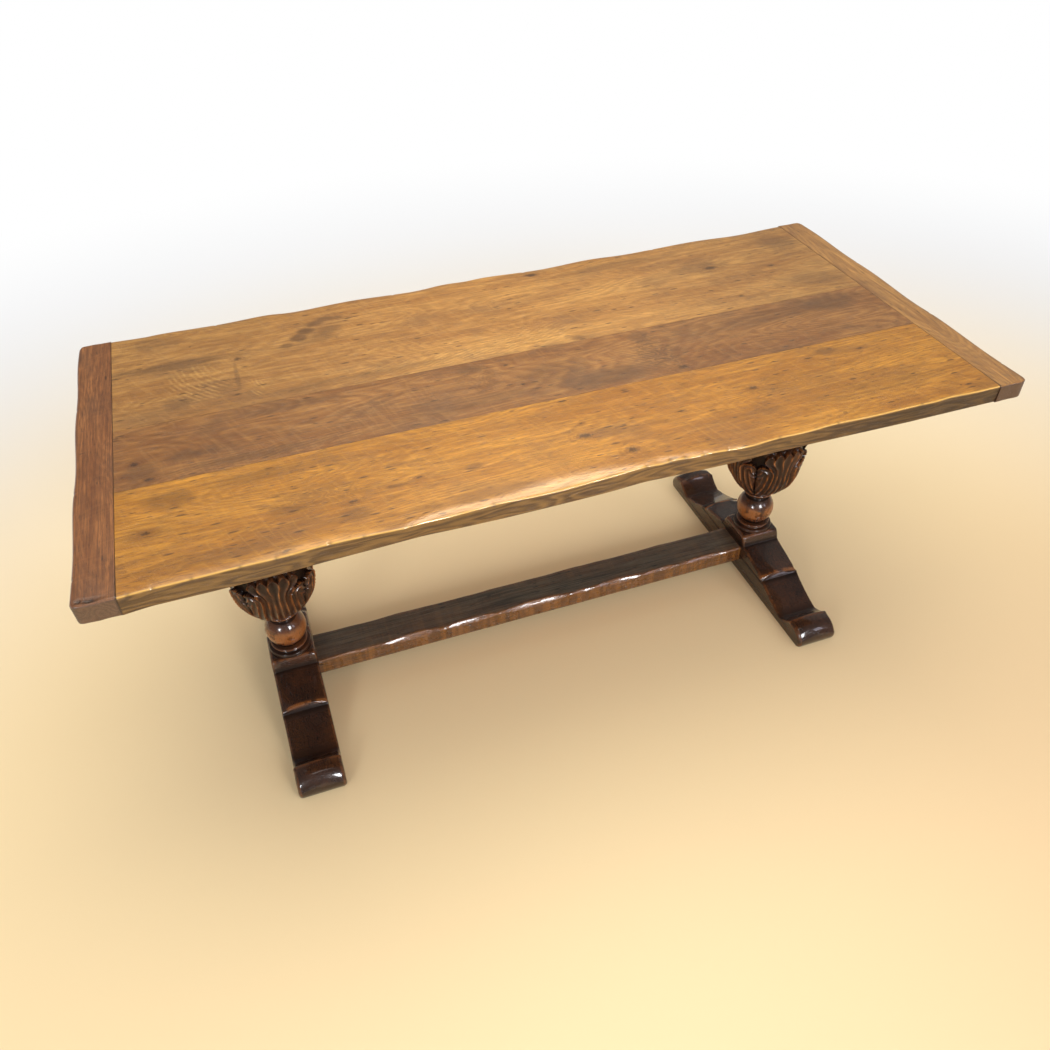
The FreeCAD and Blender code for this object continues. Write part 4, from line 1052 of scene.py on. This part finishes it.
makeFoot("FootLeft", "foot_left", -pedestalPlace)
makeFoot("FootRight", "foot_right", pedestalPlace)


# Stretcher, hewn along both upper arrises. A line gives break places along the edge with their set-back,
# and a scoop gives its start, end, set-back and drop at its middle.

stretcher = {
    "half": 0.5765,
    "halfWide": 0.047,
    "top": 0.079,
    "thick": 0.045,
    "acrossRows": (1, 2.5, 4.5, 7, 10, 13.5, 18, 24, 33),
    "depthRows": (1, 2.5, 4.5, 7, 10, 13.5, 18, 24, 32, 38, 42, 44),
    "roll": ((-580, 1), (-300, 2), (0, 1), (300, 2), (580, 1)),
}
stretcherEdges = {
    -1: {
        "line": ((-576.5, 0.5), (-400, 1), (-261, 0), (-115, 0), (85, 0), (145, 1), (277, 0.5), (403, 1),
                 (533, 0), (576.5, 1)),
        "scoops": ((-550, -410, 5, 6), (-420, -255, 12, 14.5), (-268, -112, 11.5, 14), (-118, 82, 13.5, 16.5),
                   (80, 150, 6, 8), (140, 282, 11.5, 14), (276, 402, 7, 8), (398, 540, 10, 12)),
        "least": 3, "rollWidth": 14, "soften": 0.3,
    },
    1: {
        "line": ((-576.5, 1), (-360, 0), (-115, 1), (125, 0.5), (370, 0), (576.5, 1)),
        "scoops": ((-500, -330, 4, 4), (-200, -40, 4.5, 4), (90, 200, 4, 4), (300, 460, 4.5, 4)),
        "least": 2.5, "rollWidth": 20, "soften": 0.6,
    },
}


# The set-back of a hewn edge, with each stretch between two breaks a little hollowed
def hewnLine(along, line):
    places, depths = np.array(line).T * mm
    number = np.clip(np.searchsorted(places, along) - 1, 0, len(places) - 2)
    length = places[number + 1] - places[number]
    share = np.clip((along - places[number]) / length, 0, 1)
    return np.interp(along, places, depths) + 0.012 * length * 4 * share * (1 - share)


# Where a point on a plain bar goes when its long edge is hewn: new (inward, below), the wear and a painted shade line
# just past each scoop
def hewEdge(along, inward, below, edge):
    back = down = np.full_like(along, edge["least"] * mm)
    for start, end, setBack, drop in np.array(edge["scoops"]) * mm:
        share = (along - start) / (end - start)
        bulge = np.clip(4 * share * (1 - share), 0, 1) ** 0.75
        back = np.maximum(back, bulge * setBack)
        down = np.maximum(down, bulge * drop)
    reach = inward / back + below / down
    lack = np.clip(1 - reach, 0, 1)
    soft = lack * lack / (lack + edge["soften"])
    # A painted shade line on the top, just past the edge of each scoop.
    shade = np.exp(-((reach - 1.12) / 0.2) ** 2) * np.clip(back / 0.01 - 0.3, 0, 1) * (below < inward)
    inward = inward + soft * back * 0.5
    below = below + soft * down * 0.5
    places, drops = np.array(stretcher["roll"]).T * mm
    near = np.clip(1 - inward / (edge["rollWidth"] * mm), 0, 1) ** 2
    below = below + np.interp(along, places, drops) * near * np.clip(1 - below / stretcher["thick"], 0, 1)
    fade = np.clip(1 - inward / 0.045, 0, 1) * (1 - 0.3 * np.clip(below / stretcher["thick"], 0, 1))
    return inward + hewnLine(along, edge["line"]) * fade, below, np.clip(lack * 4, 0, 1), shade


def makeStretcherOak():
    material, surface = newMaterial("StretcherOak")
    place = objectPlace(surface)
    grain = useGroup(oakGrain, Place=place, Seed=6.1, Spacing=0.0035, Wander=0.03, Figure=0.4)
    streaks = ramp(noise(place * (85, 6, 6), 1, 3, 0.6), 0.4, 0.62)
    patina = useGroup(darkPatina, Place=place, Wear=attribute(surface, "wear"), Hollow=attribute(surface, "hollow"),
                      Ground=mix(streaks, (0.15, 0.053, 0.012), (0.34, 0.132, 0.026)), Red=(0.22, 0.082, 0.02),
                      Bright=(0.30, 0.12, 0.03), Deep=(0.012, 0.007, 0.004))
    dust = attribute(surface, "dust") * ramp(grain["Bands"], 0, 1, 0.7, 1)
    colour = mix(dust, patina["Colour"], mix(grain["Lines"], (0.115, 0.094, 0.056), (0.026, 0.019, 0.011)))
    marks = useGroup(darkDashes, Place=place, Stretch=(40, 220, 220), Amount=0.12, Size=0.35)["Marks"]
    setNode(surface, Base_Color=mix(marks, colour, (0.008, 0.006, 0.005)),
            Roughness=patina["Rough"] + dust * 0.3 + 0.2,
            Coat_Weight=maths("MAXIMUM", 0.8 - dust * 0.8, 0), Coat_Roughness=0.1,
            Normal=bump(grain["Lines"] * 0.6 - (grain["Pores"] + marks), 0.0007, 0.7))
    return material


def makeStretcher():
    half, halfWide, top, thick = [stretcher[key] for key in ("half", "halfWide", "top", "thick")]
    piece = blockBetween("Stretcher", (-half, -halfWide, top - thick), (half, halfWide, top))
    slicePiece(piece, 1, [side * (halfWide - row * mm) for side in (-1, 1) for row in stretcher["acrossRows"]])
    slicePiece(piece, 2, [top - row * mm for row in stretcher["depthRows"]])
    splitAlong(piece, 0, (18, 18))
    along, across, up = readAll(piece.data.vertices, "co").T
    below = top - up
    worn = dark = np.zeros(len(along))
    for side, edge in stretcherEdges.items():
        mine = side * across >= 0
        inward, newBelow, wear, shade = hewEdge(along, halfWide - side * across, below, edge)
        inward, above = roundCorner(inward, thick - newBelow, 4 * mm)
        across = np.where(mine, side * (halfWide - inward), across)
        below = np.where(mine, thick - above, below)
        worn = np.where(mine, np.maximum(worn, wear), worn)
        dark = np.where(mine, np.maximum(dark, shade), dark)
    rough = 0.0006 * (np.sin(along * 47 + across * 60) * np.sin(along * 19 + 1) - 1)
    below = below - np.where(below < 0.006, rough, 0)
    writePoints(piece, along, across, top - below)
    flat = np.clip((0.012 - below) / 0.008, 0, 1) * (1 - np.clip(worn * 1.4, 0, 1))
    # The painted shade line darkens the stretcher through the hollow colour and keeps the dust off it.
    writeValues(piece, dust=flat * np.clip((halfWide - np.abs(across)) / 0.012, 0, 1) * (1 - dark),
                wear=0.1 + worn * 0.5, hollow=dark * 0.9)
    finishPiece(piece, makeStretcherOak(), ["stretcher"])


makeStretcher()


# CAD nodes that stay as they are: bearers, screws and pegs

def makeSteel():
    material, surface = newMaterial("ScrewSteel")
    worn = ramp(noise(objectPlace(surface), 180, 4, 0.6), 0.35, 0.65)
    setNode(surface, Base_Color=mix(worn, (0.30, 0.29, 0.28), (0.16, 0.13, 0.11)), Metallic=1,
            Roughness=ramp(worn, 0, 1, 0.32, 0.55), Normal=bump(worn, 0.0001, 0.4))
    return material


def makePegOak():
    material, surface = newMaterial("PegOak")
    place = objectPlace(surface, (0, math.pi / 2, 0))
    lines = useGroup(oakGrain, Place=place, Seed=3.3, Spacing=0.0012, Wander=0.004, Figure=0.1)["Lines"]
    setNode(surface, Base_Color=mix(lines, (0.14, 0.08, 0.04), (0.07, 0.038, 0.02)), Roughness=0.55,
            Normal=bump(lines, 0.0002, 0.5))
    return material


plainNodes = {
    "bearer": makeDarkOak("BearerOak", bearerLook),
    "bearer_screws": makeSteel(),
    "stretcher_peg": makePegOak(),
}
for name, material in plainNodes.items():
    for side in ("_left", "_right"):
        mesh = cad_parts[name + side].data
        mesh.materials.clear()
        mesh.materials.append(material)
print("CAD nodes painted")


# Floor: a plain carpet tone, with a patch of painted shade towards the front right, that fades to the white of the
# wall

floorLook = {
    "size": 60, "sunk": 0.0005, "middle": (0, 1.2, 0), "rough": 0.9,
    "carpet": (0.9, 0.69, 0.385), "shaded": (0.72, 0.5, 0.27), "shadeCentre": (1.7, -1.5, 0), "far": (0.92, 0.92, 0.92),
}
clearSelection()
bpy.ops.mesh.primitive_plane_add(size=floorLook["size"], location=(0, 0, -floorLook["sunk"]))
floor = settle(bpy.context.object, "Floor")
floorMaterial, surface = newMaterial("FloorPaint")
tree = surface.id_data
place = objectPlace(surface)
reach = maths("LENGTH", place + floorLook["middle"])
# A patch of painted shade on the carpet, darkest at its centre.
paintedShade = ramp(maths("DISTANCE", place, floorLook["shadeCentre"]), 2.1, 0.5)
carpet = mix(paintedShade, floorLook["carpet"], floorLook["shaded"])
setNode(surface, Base_Color=mix(ramp(reach, 1.6, 4.2), carpet, floorLook["far"]), Roughness=floorLook["rough"])
seen = Wire(addNode(tree, "LightPath").outputs["Is Camera Ray"])
bright = Wire(addNode(tree, "Emission", Strength=1).outputs[0])
shares = addNode(tree, "MixShader")
feedInTurn(shares, (ramp(reach, 2.4, 4.6) * seen, Wire(surface.outputs[0]), bright))
setNode(tree.nodes["Material Output"], Surface=Wire(shares.outputs[0]))
floor.data.materials.append(floorMaterial)

# World: fill light, fainter in reflections, white to the camera
world = bpy.data.worlds.new("Studio")
bpy.context.scene.world = world
world.use_nodes = True
tree = world.node_tree
tree.nodes.clear()
rays = addNode(tree, "LightPath")
shown = Wire(addNode(tree, "Background", Color=(0.94, 0.96, 1), Strength=0.6).outputs[0])
for ray, tint, strength in (("Is Glossy Ray", (0.95, 0.94, 0.92), 0.2), ("Is Camera Ray", (1, 1, 1), 1)):
    background = Wire(addNode(tree, "Background", Color=tint, Strength=strength).outputs[0])
    choice = addNode(tree, "MixShader")
    feedInTurn(choice, (Wire(rays.outputs[ray]), shown, background))
    shown = Wire(choice.outputs[0])
addNode(tree, "OutputWorld", Surface=shown)
print("stage set")
